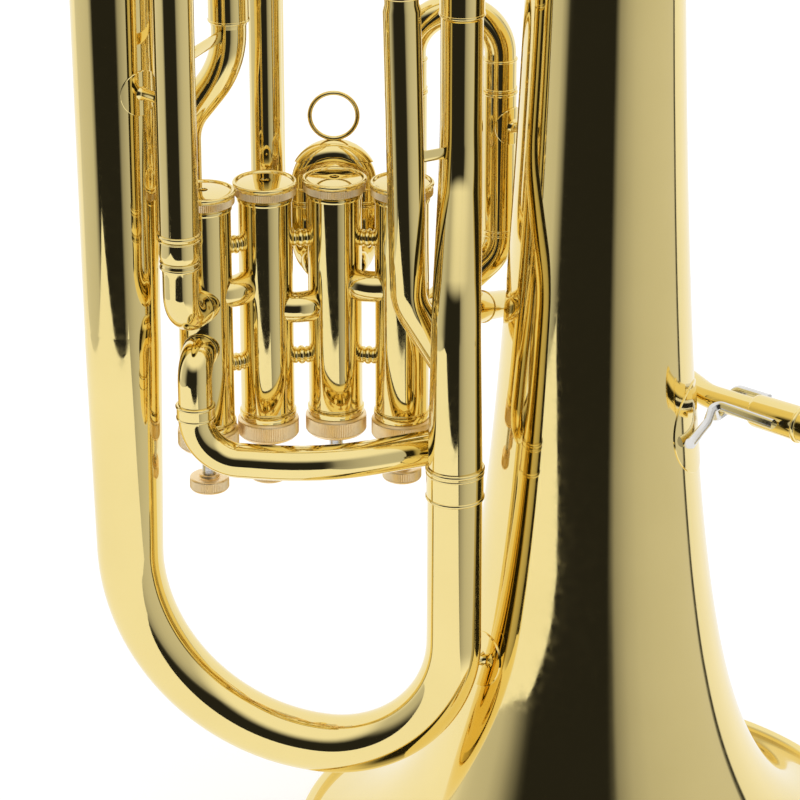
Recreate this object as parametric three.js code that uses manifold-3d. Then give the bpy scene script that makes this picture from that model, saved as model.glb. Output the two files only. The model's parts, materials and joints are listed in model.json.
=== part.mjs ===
// A four-valve euphonium standing on its bell, in millimetres, +Z up.
// The rim of the bell lies in the plane z = 0 and the bottom bow is at the top.
import * as THREE from "three";
import { mergeVertices } from "three/addons/utils/BufferGeometryUtils.js";
import Module from "manifold-3d";

const wasm = await Module();
wasm.setup();

// ---- Driving dimensions ----
const RIM_RADIUS = 140; // bell rim
const BELL_TOP = 506; // small end of the bell, where the bottom bow begins
const SHEET = 0.6; // thickness of the drawn tubes
const GAP = 0.3; // clearance between pieces that touch
const BOW_BEND_Z = 510; // height where the bottom bow starts to bend
const BRANCH = [-216.3, -10]; // x, y of the outer branch
const BOW_FERRULE_RADIUS = 20.2; // where the bottom bow fits over the outer branch
const BELL_AXIS_X = (BOW_FERRULE_RADIUS - BRANCH[0] - RIM_RADIUS) / 2; // centres the whole on x = 0
const BRANCH_SEAM = 272; // joint of the top bow and the outer branch
const LEG = [-65.4, -43.4]; // x, y of the leg that ends at the top bow
const FERRULE_LOW = 202.2;
const FERRULE_HIGH = 216.4;

const VALVES = [
  { x: -89.4, y: 1.9 },
  { x: -120.0, y: 7.7 },
  { x: -151.3, y: 2.9 },
  { x: -178.5, y: -9.7 },
];
const CASING_RADIUS = 12.4;
const CASING_BORE = 11.4;
const CASING_LOW = 215.6;
const CASING_HIGH = 335.4;
const TOP_CAP_FACE = 212.2; // the finger side, which points down
const BOTTOM_CAP_FACE = 337.4;
const PISTON_RADIUS = 11;
const PISTON_LOW = 230;
const PISTON_HIGH = 312;
const STEM_RADIUS = 3.2;
const BUTTON_RADIUS = 9.1;
const BUTTON_LOW = 190.4;
const BUTTON_HIGH = 196.8;
const STROKE = 13.8; // how far a piston is pressed
const KNUCKLE_RADIUS = 7.2;
const KNUCKLE_HEIGHTS = [286.8, 276.6, 288]; // valves 1-2, 2-3 and 3-4

const MAIN_INLET = [-89.8, -23];
const MAIN_OUTLET = [-63, -8];
const MAIN_SLEEVE_TOP = 488;
const FIRST_LEGS = [-85.7, -44.8];
const FIRST_Y = 37;
const FIRST_SLEEVE_TOP = 368.8;
const SECOND_LEGS = [-133.8, -107.2];
const SECOND_Y = 29.3;
const SECOND_SLEEVE_TOP = 317.5;
const THIRD_LEGS_Y = [28.4, 52.4];
const THIRD_X = -151;
const THIRD_SLEEVE_TOP = 500;
const FOURTH_FRONT = [-187.6, -38.6];
const FOURTH_REAR = [-166.5, 10];
const FOURTH_SLEEVE_TOP = 468;

const TUBE_SIDES = 10;
const VALVE_SIDES = 16;
const BEND_STEP = Math.PI / 5; // turn of a small bend between two rings
const BOW_STEP = Math.PI / 10; // the same for the two large bows

// ---- Materials ----
const lacquer = new THREE.MeshStandardMaterial({ color: 0xd9b654, roughness: 0.12, metalness: 1 });
const satinBrass = new THREE.MeshStandardMaterial({ color: 0xc9a04a, roughness: 0.35, metalness: 1 });
const nickelSilver = new THREE.MeshStandardMaterial({ color: 0xd6d4cc, roughness: 0.18, metalness: 1 });
const monel = new THREE.MeshStandardMaterial({ color: 0xb9b6ae, roughness: 0.2, metalness: 1 });
const springSteel = new THREE.MeshStandardMaterial({ color: 0x8f9094, roughness: 0.3, metalness: 1 });

// ---- Routes: straight stretches joined by round bends ----
// Each corner is [x, y, z, bend radius]; the first and last are the ends.
class Route {
  constructor(corners, bendStep = BEND_STEP) {
    this.bendStep = bendStep;
    const points = corners.map(([x, y, z]) => new THREE.Vector3(x, y, z));
    this.pieces = [];
    this.length = 0;
    let from = points[0];
    let tangent = points[1].clone().sub(points[0]).normalize();
    let side = Math.abs(tangent.z) > 0.9 ? new THREE.Vector3(1, 0, 0) : new THREE.Vector3(0, 0, 1);
    side = side.addScaledVector(tangent, -side.dot(tangent)).normalize();
    for (let i = 1; i < points.length; i++) {
      const next = i < points.length - 1 ? points[i + 1].clone().sub(points[i]).normalize() : null;
      const turn = next ? tangent.angleTo(next) : 0;
      const radius = corners[i][3] || 0;
      const cut = turn > 0 ? radius * Math.tan(turn / 2) : 0;
      const straightEnd = points[i].clone().addScaledVector(tangent, -cut);
      this.add({ from, tangent, side, size: from.distanceTo(straightEnd) });
      if (!next) break;
      const axis = tangent.clone().cross(next).normalize();
      const inward = axis.clone().cross(tangent);
      this.add({ from: straightEnd, tangent, side, size: turn * radius, radius, turn, axis, inward });
      from = points[i].clone().addScaledVector(next, cut);
      side = side.clone().applyAxisAngle(axis, turn);
      tangent = next;
    }
  }

  add(piece) {
    piece.start = this.length;
    this.length += piece.size;
    this.pieces.push(piece);
  }

  // Lengths along the route where a bent tube needs a ring.
  rings() {
    const found = [0];
    for (const piece of this.pieces) {
      const steps = piece.radius ? Math.max(1, Math.round(piece.turn / this.bendStep)) : 1;
      for (let i = 1; i <= steps; i++) found.push(piece.start + (piece.size * i) / steps);
    }
    return found;
  }

  frameAt(length) {
    const piece = this.pieces.findLast((p) => p.start <= length + 1e-4) ?? this.pieces[0];
    const along = length - piece.start;
    if (!piece.radius) {
      const point = piece.from.clone().addScaledVector(piece.tangent, along);
      return { point, side: piece.side, up: piece.tangent.clone().cross(piece.side) };
    }
    const angle = along / piece.radius;
    const point = piece.from
      .clone()
      .addScaledVector(piece.inward, piece.radius * (1 - Math.cos(angle)))
      .addScaledVector(piece.tangent, piece.radius * Math.sin(angle));
    const side = piece.side.clone().applyAxisAngle(piece.axis, angle);
    const tangent = piece.tangent.clone().applyAxisAngle(piece.axis, angle);
    return { point, side, up: tangent.cross(side) };
  }
}

// ---- Solids ----
function solid(geometry) {
  const bare = new THREE.BufferGeometry();
  bare.setAttribute("position", geometry.getAttribute("position"));
  bare.setIndex(geometry.index);
  const merged = mergeVertices(bare, 1e-3);
  const vertProperties = merged.attributes.position.array;
  const build = (triVerts) => new wasm.Manifold(new wasm.Mesh({ numProp: 3, vertProperties, triVerts }));
  const triVerts = new Uint32Array(merged.index.array);
  const made = build(triVerts);
  return made.volume() > 0 ? made : build(triVerts.reverse());
}

function radiusAt(outer, length) {
  const after = outer.findIndex(([s]) => s >= length);
  if (after === 0) return outer[0][1];
  if (after < 0) return outer.at(-1)[1];
  const [s0, r0] = outer[after - 1];
  const [s1, r1] = outer[after];
  return r0 + ((r1 - r0) * (length - s0)) / (s1 - s0);
}

// Turns a closed or axis-to-axis outline of [radius, height] about +Z.
function turned(outline, sides) {
  const geometry = new THREE.LatheGeometry(outline.map(([r, h]) => new THREE.Vector2(r, h)), sides);
  return geometry.rotateX(Math.PI / 2);
}

// Moves a shape turned about +Z so that its height runs along the route.
function bendAlong(geometry, route) {
  const position = geometry.getAttribute("position");
  for (let i = 0; i < position.count; i++) {
    const { point, side, up } = route.frameAt(position.getZ(i));
    point.addScaledVector(side, position.getX(i)).addScaledVector(up, position.getY(i));
    position.setXYZ(i, point.x, point.y, point.z);
  }
  return geometry;
}

// Places on the route where a tube with these radii needs a ring; a radius list counts from the start.
function ringStops(route, outer) {
  const stops = [...route.rings(), ...outer.map(([s]) => s)];
  stops.sort((a, b) => a - b);
  return stops.filter((s, i) => s <= route.length + 1e-6 && (i === 0 || s - stops[i - 1] > 0.05));
}

// A thin tube along a route. outer is one radius, or a list of [length along the route, radius].
function tube(corners, outer, { sides = TUBE_SIDES, wall = SHEET, bendStep = BEND_STEP } = {}) {
  const route = new Route(corners, bendStep);
  const radii = Array.isArray(outer) ? outer : [[0, outer]];
  const stops = ringStops(route, radii);
  const outside = stops.map((s) => [radiusAt(radii, s), s]);
  const inside = outside.map(([r, s]) => [r - wall, s]).reverse();
  return solid(bendAlong(turned([...outside, ...inside, outside[0]], sides), route));
}

// A solid round bar along a route.
function bar(corners, radius, sides = TUBE_SIDES) {
  const route = new Route(corners);
  const rings = route.rings().filter((s, i, all) => i === 0 || s - all[i - 1] > 0.05);
  const outside = rings.map((s) => [radius, s]);
  const outline = [[0, 0], ...outside, [0, route.length]];
  return solid(bendAlong(turned(outline, sides), route));
}

// A piece turned about the upright line through x, y.
function upright(x, y, outline, sides) {
  return solid(turned(outline, sides).translate(x, y, 0));
}

const euphonium = new THREE.Group();
euphonium.position.x = BELL_AXIS_X;

function piece(name, made, material) {
  const { numProp, vertProperties, triVerts } = made.getMesh();
  const geometry = new THREE.BufferGeometry();
  geometry.setAttribute("position", new THREE.BufferAttribute(vertProperties, numProp));
  geometry.setIndex(new THREE.BufferAttribute(triVerts, 1));
  geometry.computeVertexNormals();
  const mesh = new THREE.Mesh(geometry, material);
  mesh.name = name;
  euphonium.add(mesh);
}

// ---- Bell ----
const HORN_POWER = 0.364;
const HORN_OFFSET = 16.4;
const HORN_SHIFT = -9.6;

function hornRadius(z) {
  return HORN_SHIFT + (RIM_RADIUS - HORN_SHIFT) * (HORN_OFFSET / (z + HORN_OFFSET)) ** HORN_POWER;
}

function bell() {
  const heights = [BELL_TOP, 350, 240, 165, 115, 80, 55, 37, 24, 14.5, 5.5];
  const skin = heights.map((z) => [hornRadius(z), z]);
  const inner = skin.map(([r, z]) => {
    const slope = hornRadius(z - 0.5) - hornRadius(z + 0.5);
    const stretch = Math.hypot(1, slope);
    return [r - SHEET / stretch, z - (SHEET * slope) / stretch];
  });
  const bead = [
    [134.6, 2.4],
    [136.2, 4.5],
    [138.8, 4.3],
    [RIM_RADIUS, 2.2],
    [139, 0],
    [136.2, 0],
    [134.4, 1.4],
  ];
  const outline = [...skin, ...bead, ...inner.reverse(), skin[0]];
  return upright(0, 0, outline, 28);
}

// ---- Bows and branches ----
function bottomBow() {
  const start = BELL_TOP + GAP;
  const radius = Math.hypot(...BRANCH) / 2;
  const corners = [
    [...BRANCH, start],
    [...BRANCH, BOW_BEND_Z + radius, radius - 0.01],
    [0, 0, BOW_BEND_Z + radius, radius - 0.01],
    [0, 0, start],
  ];
  const length = 2 * (BOW_BEND_Z - start) + Math.PI * radius;
  const radii = [
    [0, BOW_FERRULE_RADIUS],
    [14, BOW_FERRULE_RADIUS],
    [14.3, 19.6],
    [length - 14.3, 32.2],
    [length - 14, 33.8],
    [length, 33.8],
  ];
  return tube(corners, radii, { sides: 16, bendStep: BOW_STEP });
}

function outerBranch() {
  const length = BELL_TOP - BRANCH_SEAM;
  const radii = [[0, 17.4], [154, 18.5], [length, 19.3]];
  return tube([[...BRANCH, BRANCH_SEAM], [...BRANCH, BELL_TOP]], radii, { sides: 16 });
}

function topBow() {
  const across = Math.hypot(BRANCH[0] - LEG[0], BRANCH[1] - LEG[1]);
  const rightBend = 61.5;
  const leftBend = across - rightBend;
  const low = 67.3;
  const corners = [
    [...LEG, FERRULE_LOW - GAP],
    [...LEG, low, rightBend - 0.01],
    [...BRANCH, low, leftBend - 0.01],
    [...BRANCH, BRANCH_SEAM - GAP],
  ];
  return tube(corners, [[0, 12.5], [66, 12.6], [160, 13.7], [306, 15.3], [390, 16.9], [418, 17.4]], {
    sides: 14,
    bendStep: BOW_STEP,
  });
}

function topBowFerrule() {
  return tube([[...LEG, FERRULE_LOW], [...LEG, FERRULE_HIGH]], 13.1, { sides: 16, wall: 1.2 });
}

function tuningOutletBranch() {
  const corners = [
    [...MAIN_OUTLET, 428],
    [...MAIN_OUTLET, 348, 50],
    [...LEG, 290, 50],
    [...LEG, FERRULE_HIGH + GAP],
  ];
  return tube(corners, [[0, 8.95], [10.5, 8.95], [11, 9.5], [60, 9.6], [150, 11.1], [220, 12.4]]);
}

function crossoverTube() {
  const corners = [
    [-182.6, -35, 237.6],
    [-182.6, -35, 217.3, 20],
    [-126, -44.5, 217.3, 90],
    [-64.5, -19, 217.3, 15],
    [-64.5, -19, 250, 22],
    [-86.4, -23, 288.5, 24],
    [...MAIN_INLET, 436],
  ];
  return tube(corners, [[0, 8], [200, 8.2], [225, 8.4], [341, 8.4], [344, 7.6]]);
}

function crossoverFerrule() {
  return tube([[-182.6, -35, 237.6 + GAP], [-182.6, -35, 243]], 8.9, { wall: 1 });
}

// ---- Valves ----
// Each branch that enters a valve: corners from its free end to inside the casing, and its radii.
const drop = (x, y, top, low, bend) => [[x, y, top], [x, y, low, bend]];

const branches = [
  {
    name: "leadpipe",
    valve: 0,
    corners: [
      [86.2, -8.9, 225],
      [53.5, 19, 224.5, 25],
      [40, 45, 226, 25],
      [12, 60, 236, 30],
      [-31, 58, 257, 38],
      [-58, 18, 269, 28],
      [-84, 3, 271],
    ],
    radii: [[0, 5.5], [180, 6.6], [220, 7.2]],
  },
  {
    name: "first_slide_left_branch",
    valve: 0,
    corners: [...drop(FIRST_LEGS[0], FIRST_Y, FIRST_SLEEVE_TOP, 303, 13), [-88.5, 8, 303]],
    radii: [[0, 7.75]],
  },
  {
    name: "first_slide_right_branch",
    valve: 0,
    corners: [...drop(FIRST_LEGS[1], FIRST_Y, FIRST_SLEEVE_TOP, 291, 18), [-80, 33, 258, 14], [-88, 8, 256]],
    radii: [[0, 7.75]],
  },
  {
    name: "second_slide_left_branch",
    valve: 1,
    corners: [...drop(SECOND_LEGS[0], SECOND_Y, SECOND_SLEEVE_TOP, 293, 9), [-127, 12, 293]],
    radii: [[0, 6.7]],
  },
  {
    name: "second_slide_right_branch",
    valve: 1,
    corners: [...drop(SECOND_LEGS[1], SECOND_Y, SECOND_SLEEVE_TOP, 293, 9), [-113, 12, 293]],
    radii: [[0, 6.7]],
  },
  {
    name: "third_slide_front_branch",
    valve: 2,
    corners: [...drop(THIRD_X, THIRD_LEGS_Y[0], THIRD_SLEEVE_TOP, 297, 12.5), [-151.2, 10, 297]],
    radii: [[0, 8.2], [74.7, 8.2], [75, 7.5]],
  },
  {
    name: "third_slide_rear_branch",
    valve: 2,
    corners: [...drop(THIRD_X, THIRD_LEGS_Y[1], THIRD_SLEEVE_TOP, 262, 18), [-151.2, 10, 262]],
    radii: [[0, 8.2], [74.7, 8.2], [75, 7.5]],
  },
  {
    name: "fourth_slide_front_branch",
    valve: 3,
    corners: [...drop(...FOURTH_FRONT, FOURTH_SLEEVE_TOP, 285.6, 13), [-178.6, -15.5, 285.6]],
    radii: [[0, 8.85], [140.2, 8.85], [140.5, 9.4], [156.8, 9.4], [157, 7.95]],
  },
  {
    name: "fourth_slide_rear_branch",
    valve: 3,
    corners: [
      ...drop(...FOURTH_REAR, FOURTH_SLEEVE_TOP, 390, 45),
      [-188, 15, 361, 26],
      [-188, 15, 301, 14],
      [-180.5, -4, 301],
    ],
    radii: [[0, 9.1], [57.7, 9.1], [58, 7.95]],
  },
  {
    name: "valve_4_outlet_elbow",
    valve: 3,
    corners: [[-182.6, -35, 243 + GAP], [-182.6, -35, 264.4, 10], [-179.4, -16, 264.4]],
    radii: [[0, 7.75]],
  },
];

function knuckleRoute(left, right, z) {
  const reach = 6;
  const forward = 6;
  const mid = [(left.x + right.x) / 2, (left.y + right.y) / 2 - forward, z, 13];
  return [[right.x - reach, right.y - 1, z], mid, [left.x + reach, left.y - 1, z]];
}

// Full cylinder that stands in for a casing with its clearance.
const casingSpace = (valve) =>
  upright(
    valve.x,
    valve.y,
    [[0, 200], [CASING_RADIUS + GAP, 200], [CASING_RADIUS + GAP, 345], [0, 345]],
    VALVE_SIDES,
  );

function innerBar({ corners, radii }) {
  return bar(corners, radii.at(-1)[1] - SHEET, TUBE_SIDES);
}

function casing(valve, entering) {
  const outline = [
    [CASING_RADIUS, CASING_LOW],
    [CASING_RADIUS, CASING_HIGH],
    [CASING_BORE, CASING_HIGH],
    [CASING_BORE, CASING_LOW],
    [CASING_RADIUS, CASING_LOW],
  ];
  const shell = upright(valve.x, valve.y, outline, VALVE_SIDES);
  return entering.reduce((made, branch) => made.subtract(innerBar(branch)), shell);
}

function bottomCap({ x, y }) {
  const ventRadius = 2;
  const inner = CASING_RADIUS + 0.4;
  const outline = [
    [ventRadius, BOTTOM_CAP_FACE],
    [14.2, BOTTOM_CAP_FACE],
    [14.8, BOTTOM_CAP_FACE - 1],
    [14.8, BOTTOM_CAP_FACE - 2.6],
    [14, BOTTOM_CAP_FACE - 3.4],
    [14, BOTTOM_CAP_FACE - 6.6],
    [inner, BOTTOM_CAP_FACE - 6.6],
    [inner, BOTTOM_CAP_FACE - 1.6],
    [ventRadius, BOTTOM_CAP_FACE - 1.6],
    [ventRadius, BOTTOM_CAP_FACE],
  ];
  return upright(x, y, outline, 14);
}

function topCap({ x, y }) {
  const stemHole = STEM_RADIUS + 1.4;
  const inner = CASING_RADIUS + 0.4;
  const outline = [
    [stemHole, TOP_CAP_FACE],
    [12.8, TOP_CAP_FACE],
    [14.1, TOP_CAP_FACE + 1.4],
    [14.1, TOP_CAP_FACE + 8.6],
    [inner, TOP_CAP_FACE + 9.6],
    [inner, TOP_CAP_FACE + 3],
    [stemHole, TOP_CAP_FACE + 3],
    [stemHole, TOP_CAP_FACE],
  ];
  return upright(x, y, outline, 14);
}

// Piston with its stem: one bent passage crosses it where the airway does at rest,
// two windows meet the slide's branches once it is pressed, and the spring sits in its far end.
function piston({ x, y }, airway, loop) {
  const seatRadius = 7;
  const seatDepth = 8;
  const outline = [
    [0, BUTTON_HIGH + GAP],
    [STEM_RADIUS, BUTTON_HIGH + GAP],
    [STEM_RADIUS, PISTON_LOW],
    [PISTON_RADIUS, PISTON_LOW],
    [PISTON_RADIUS, PISTON_HIGH],
    [seatRadius, PISTON_HIGH],
    [seatRadius, PISTON_HIGH - seatDepth],
    [0, PISTON_HIGH - seatDepth],
  ];
  const middle = [x, y, (airway[0][2] + airway[1][2]) / 2, 8];
  const passage = bar([airway[0], middle, airway[1]], 5.8, 8);
  const windows = loop.map(([px, py, pz]) => {
    const z = pz - STROKE;
    return bar([[x + (px - x) * 0.5, y + (py - y) * 0.5, z], [px, py, z]], 5.2, 8);
  });
  const body = upright(x, y, outline, VALVE_SIDES).subtract(passage);
  return windows.reduce((made, window) => made.subtract(window), body);
}

function button({ x, y }) {
  const outline = [
    [0, BUTTON_LOW + 0.6],
    [7.2, BUTTON_LOW + 0.6],
    [7.8, BUTTON_LOW],
    [8.6, BUTTON_LOW],
    [BUTTON_RADIUS, BUTTON_LOW + 0.8],
    [BUTTON_RADIUS, BUTTON_HIGH - 0.8],
    [8.4, BUTTON_HIGH],
    [0, BUTTON_HIGH],
  ];
  return upright(x, y, outline, 14);
}

class Helix extends THREE.Curve {
  constructor(x, y, low, high, radius, turns) {
    super();
    Object.assign(this, { x, y, low, high, radius, turns });
  }

  getPoint(t, target = new THREE.Vector3()) {
    const angle = t * this.turns * 2 * Math.PI;
    const z = this.low + t * (this.high - this.low);
    return target.set(this.x + this.radius * Math.cos(angle), this.y + this.radius * Math.sin(angle), z);
  }
}

function valveSpring({ x, y }) {
  const wire = 0.6;
  const low = PISTON_HIGH + wire + GAP;
  const high = BOTTOM_CAP_FACE - 1.6 - wire - GAP;
  const section = new THREE.Shape([0, 1, 2, 3].map((i) => {
    const angle = (i * Math.PI) / 2;
    return new THREE.Vector2(wire * Math.cos(angle), wire * Math.sin(angle));
  }));
  const extrudePath = new Helix(x, y, low, high, PISTON_RADIUS - 1.2, 4);
  return solid(new THREE.ExtrudeGeometry(section, { steps: 28, extrudePath, bevelEnabled: false }));
}

// ---- Slides ----
// A slide is one bent tube: two inner legs and a thicker bow that rests on the sleeves.
function slide({ left, right, legEnds, sleeveTop, bendZ, legRadius, bowRadius }) {
  const radius = Math.hypot(left[0] - right[0], left[1] - right[1]) / 2;
  const corners = [
    [...left, legEnds[0]],
    [...left, bendZ + radius, radius - 0.01],
    [...right, bendZ + radius, radius - 0.01],
    [...right, legEnds[1]],
  ];
  const length = 2 * bendZ - legEnds[0] - legEnds[1] + Math.PI * radius;
  const seat = sleeveTop + GAP;
  const stopStart = seat - legEnds[0];
  const stopEnd = length - (seat - legEnds[1]);
  const radii = [
    [stopStart - 0.3, legRadius],
    [stopStart, bowRadius],
    [stopEnd, bowRadius],
    [stopEnd + 0.3, legRadius],
  ];
  return tube(corners, radii);
}

const slides = {
  main_tuning_slide: {
    left: MAIN_INLET,
    right: MAIN_OUTLET,
    legEnds: [437, 430],
    sleeveTop: MAIN_SLEEVE_TOP,
    bendZ: 500,
    legRadius: 7.85,
    bowRadius: 8.9,
  },
  first_slide: {
    left: [FIRST_LEGS[0], FIRST_Y],
    right: [FIRST_LEGS[1], FIRST_Y],
    legEnds: [326, 326],
    sleeveTop: FIRST_SLEEVE_TOP,
    bendZ: 386,
    legRadius: 6.8,
    bowRadius: 7.6,
  },
  second_slide: {
    left: [SECOND_LEGS[0], SECOND_Y],
    right: [SECOND_LEGS[1], SECOND_Y],
    legEnds: [303, 303],
    sleeveTop: SECOND_SLEEVE_TOP,
    bendZ: 327.2,
    legRadius: 5.75,
    bowRadius: 6.5,
  },
  third_slide: {
    left: [THIRD_X, THIRD_LEGS_Y[0]],
    right: [THIRD_X, THIRD_LEGS_Y[1]],
    legEnds: [436, 436],
    sleeveTop: THIRD_SLEEVE_TOP,
    bendZ: 514,
    legRadius: 7.3,
    bowRadius: 8.1,
  },
  fourth_slide: {
    left: FOURTH_FRONT,
    right: FOURTH_REAR,
    legEnds: [416, 416],
    sleeveTop: FOURTH_SLEEVE_TOP,
    bendZ: 482,
    legRadius: 7.9,
    bowRadius: 8.8,
  },
};

function mainInletSleeve() {
  return tube([[...MAIN_INLET, 431], [...MAIN_INLET, MAIN_SLEEVE_TOP]], 8.95, { wall: 0.7 });
}

function mainOutletSleeve() {
  return tube([[...MAIN_OUTLET, 418], [...MAIN_OUTLET, MAIN_SLEEVE_TOP]], 10.2, { wall: 0.8 });
}

function pullRing() {
  const ringRadius = 10.85;
  const wire = 1;
  const centre = [(SECOND_LEGS[0] + SECOND_LEGS[1]) / 2, SECOND_Y, 358.9];
  const ring = new THREE.TorusGeometry(ringRadius, wire, 6, 20).rotateX(Math.PI / 2).translate(...centre);
  return solid(ring);
}

// ---- Water key on the main tuning slide ----
const across = new THREE.Vector3(MAIN_OUTLET[0] - MAIN_INLET[0], MAIN_OUTLET[1] - MAIN_INLET[1], 0).normalize();
const outward = new THREE.Vector3(across.y, -across.x, 0);
const keyMiddle = new THREE.Vector3((MAIN_INLET[0] + MAIN_OUTLET[0]) / 2, (MAIN_INLET[1] + MAIN_OUTLET[1]) / 2, 0);

function keyPoint(sideways, out, z) {
  const p = keyMiddle.clone().addScaledVector(across, sideways).addScaledVector(outward, out);
  return [p.x, p.y, z];
}

const KEY_PIVOT_Z = 496;
const KEY_PIVOT_OUT = 13.2;

function waterKeySaddle() {
  const legGap = 15.3;
  const plate = bar([keyPoint(-legGap, 10.6, 491.5), keyPoint(legGap, 10.6, 491.5)], 1.2, 8);
  const post = (side) =>
    bar([keyPoint(side, 10.6, 491.5), keyPoint(side, KEY_PIVOT_OUT + 1.6, KEY_PIVOT_Z)], 1.2, 8);
  const postLeft = post(-4.6);
  const postRight = post(4.6);
  return plate.add(postLeft).add(postRight);
}

function waterKeyLever() {
  const barrelEnds = [-2.9, 2.9].map((side) => keyPoint(side, KEY_PIVOT_OUT, KEY_PIVOT_Z));
  const barrel = bar(barrelEnds, 1.8, 10);
  const arm = bar([keyPoint(0, 15.8, 476), keyPoint(0, 13.6, KEY_PIVOT_Z), keyPoint(0, 13.4, 518)], 1.4, 8);
  const pad = bar([keyPoint(0, 9.3, 515.4), keyPoint(0, 13.6, 515.4)], 3.4, 12);
  const thumb = bar([keyPoint(0, 14.8, 478), keyPoint(0, 16.6, 478)], 5, 12);
  return barrel.add(arm).add(pad).add(thumb);
}

// ---- Receiver and braces ----
const RECEIVER_END = [114.4, -33, 225];

function receiver() {
  const shank = [74, 1.5, 225];
  const length = Math.hypot(...RECEIVER_END.map((v, i) => v - shank[i]));
  const outline = [
    [5.9, 0],
    [7.4, 0],
    [7.8, 2],
    [8, 24],
    [8.9, 24.6],
    [8.9, 27],
    [8.1, 27.6],
    [8.6, length - 4],
    [9.6, length - 3.4],
    [9.6, length],
    [6.5, length],
    [5.9, 16],
    [5.9, 0],
  ];
  return solid(bendAlong(turned(outline, 14), new Route([shank, RECEIVER_END])));
}

function leadpipeBrace() {
  return bar([[41.5, -28.5, 221], [51, -8, 222.5, 10], [55, 5.5, 226.8, 4], [80.6, -18.6, 226.5]], 2.2, 8);
}

// Rod between the bell and a tube standing at x, y.
function bellRod(x, y, z, tubeRadius, radius) {
  const distance = Math.hypot(x, y);
  const place = (r) => [(x / distance) * r, (y / distance) * r, z];
  return bar([place(hornRadius(z) + 1), place(distance - tubeRadius - GAP - 0.4)], radius, 10);
}

function branchBrace() {
  const z = 387;
  const [ax, ay] = BRANCH;
  const [bx, by] = FOURTH_FRONT;
  const distance = Math.hypot(bx - ax, by - ay);
  const place = (r) => [ax + ((bx - ax) / distance) * r, ay + ((by - ay) / distance) * r, z];
  return bar([place(18.6), place(distance - 9.3)], 2.6, 10);
}

// ---- Assembly ----
piece("bell", bell(), lacquer);
piece("bottom_bow", bottomBow(), lacquer);
piece("outer_branch", outerBranch(), lacquer);
piece("top_bow", topBow(), lacquer);
piece("top_bow_ferrule", topBowFerrule(), lacquer);
piece("tuning_outlet_branch", tuningOutletBranch(), lacquer);
piece("crossover_tube", crossoverTube(), lacquer);
piece("crossover_ferrule", crossoverFerrule(), lacquer);

const knuckles = KNUCKLE_HEIGHTS.map((z, i) => ({
  name: `knuckle_${i + 1}_${i + 2}`,
  valves: [i, i + 1],
  corners: knuckleRoute(VALVES[i + 1], VALVES[i], z),
  radii: [[0, KNUCKLE_RADIUS]],
}));

for (const branch of branches) {
  const made = tube(branch.corners, branch.radii).subtract(casingSpace(VALVES[branch.valve]));
  piece(branch.name, made, lacquer);
}
for (const knuckle of knuckles) {
  const [left, right] = knuckle.valves.map((i) => casingSpace(VALVES[i]));
  piece(knuckle.name, tube(knuckle.corners, knuckle.radii).subtract(left).subtract(right), lacquer);
}

VALVES.forEach((valve, i) => {
  const number = i + 1;
  const own = branches.filter((branch) => branch.valve === i);
  const joined = knuckles.filter((knuckle) => knuckle.valves.includes(i));
  const inlet = i === 0 ? own[0].corners.at(-1) : knuckles[i - 1].corners.at(-1);
  const outlet = i === 3 ? own.at(-1).corners.at(-1) : knuckles[i].corners[0];
  const loop = own.filter((branch) => branch.name.includes("slide")).map((branch) => branch.corners.at(-1));
  const outside = (port) => {
    const distance = Math.hypot(port[0] - valve.x, port[1] - valve.y);
    const grow = 13 / distance;
    return [valve.x + (port[0] - valve.x) * grow, valve.y + (port[1] - valve.y) * grow, port[2]];
  };
  piece(`valve_${number}_casing`, casing(valve, [...own, ...joined]), lacquer);
  piece(`valve_${number}_bottom_cap`, bottomCap(valve), satinBrass);
  piece(`valve_${number}_top_cap`, topCap(valve), satinBrass);
  piece(`valve_${number}_piston`, piston(valve, [inlet, outlet].map(outside), loop.map(outside)), monel);
  piece(`valve_${number}_button`, button(valve), satinBrass);
  piece(`valve_${number}_spring`, valveSpring(valve), springSteel);
});

for (const [name, sizes] of Object.entries(slides)) piece(name, slide(sizes), lacquer);
piece("main_slide_inlet_sleeve", mainInletSleeve(), lacquer);
piece("main_slide_outlet_sleeve", mainOutletSleeve(), lacquer);
piece("second_slide_pull_ring", pullRing(), lacquer);
piece("water_key_saddle", waterKeySaddle(), lacquer);
piece("water_key_lever", waterKeyLever(), lacquer);
piece("mouthpiece_receiver", receiver(), lacquer);
piece("leadpipe_brace", leadpipeBrace(), nickelSilver);
piece("bell_bow_brace", bellRod(-68, -42, 113, 12.9, 2.4), lacquer);
piece("first_slide_bell_brace", bellRod(FIRST_LEGS[1], FIRST_Y, 353, 7.75, 2.6), lacquer);
piece("branch_fourth_slide_brace", branchBrace(), lacquer);

export default euphonium;
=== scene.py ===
"""The looks of a four-valve euphonium standing on its bell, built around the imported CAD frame.

Routes and outlines are in millimetres about the bell's axis, which the frame gives; meshes are in metres.
"""

import json
import math
from collections import namedtuple

import bmesh
import bpy
from mathutils import Matrix, Vector

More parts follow.
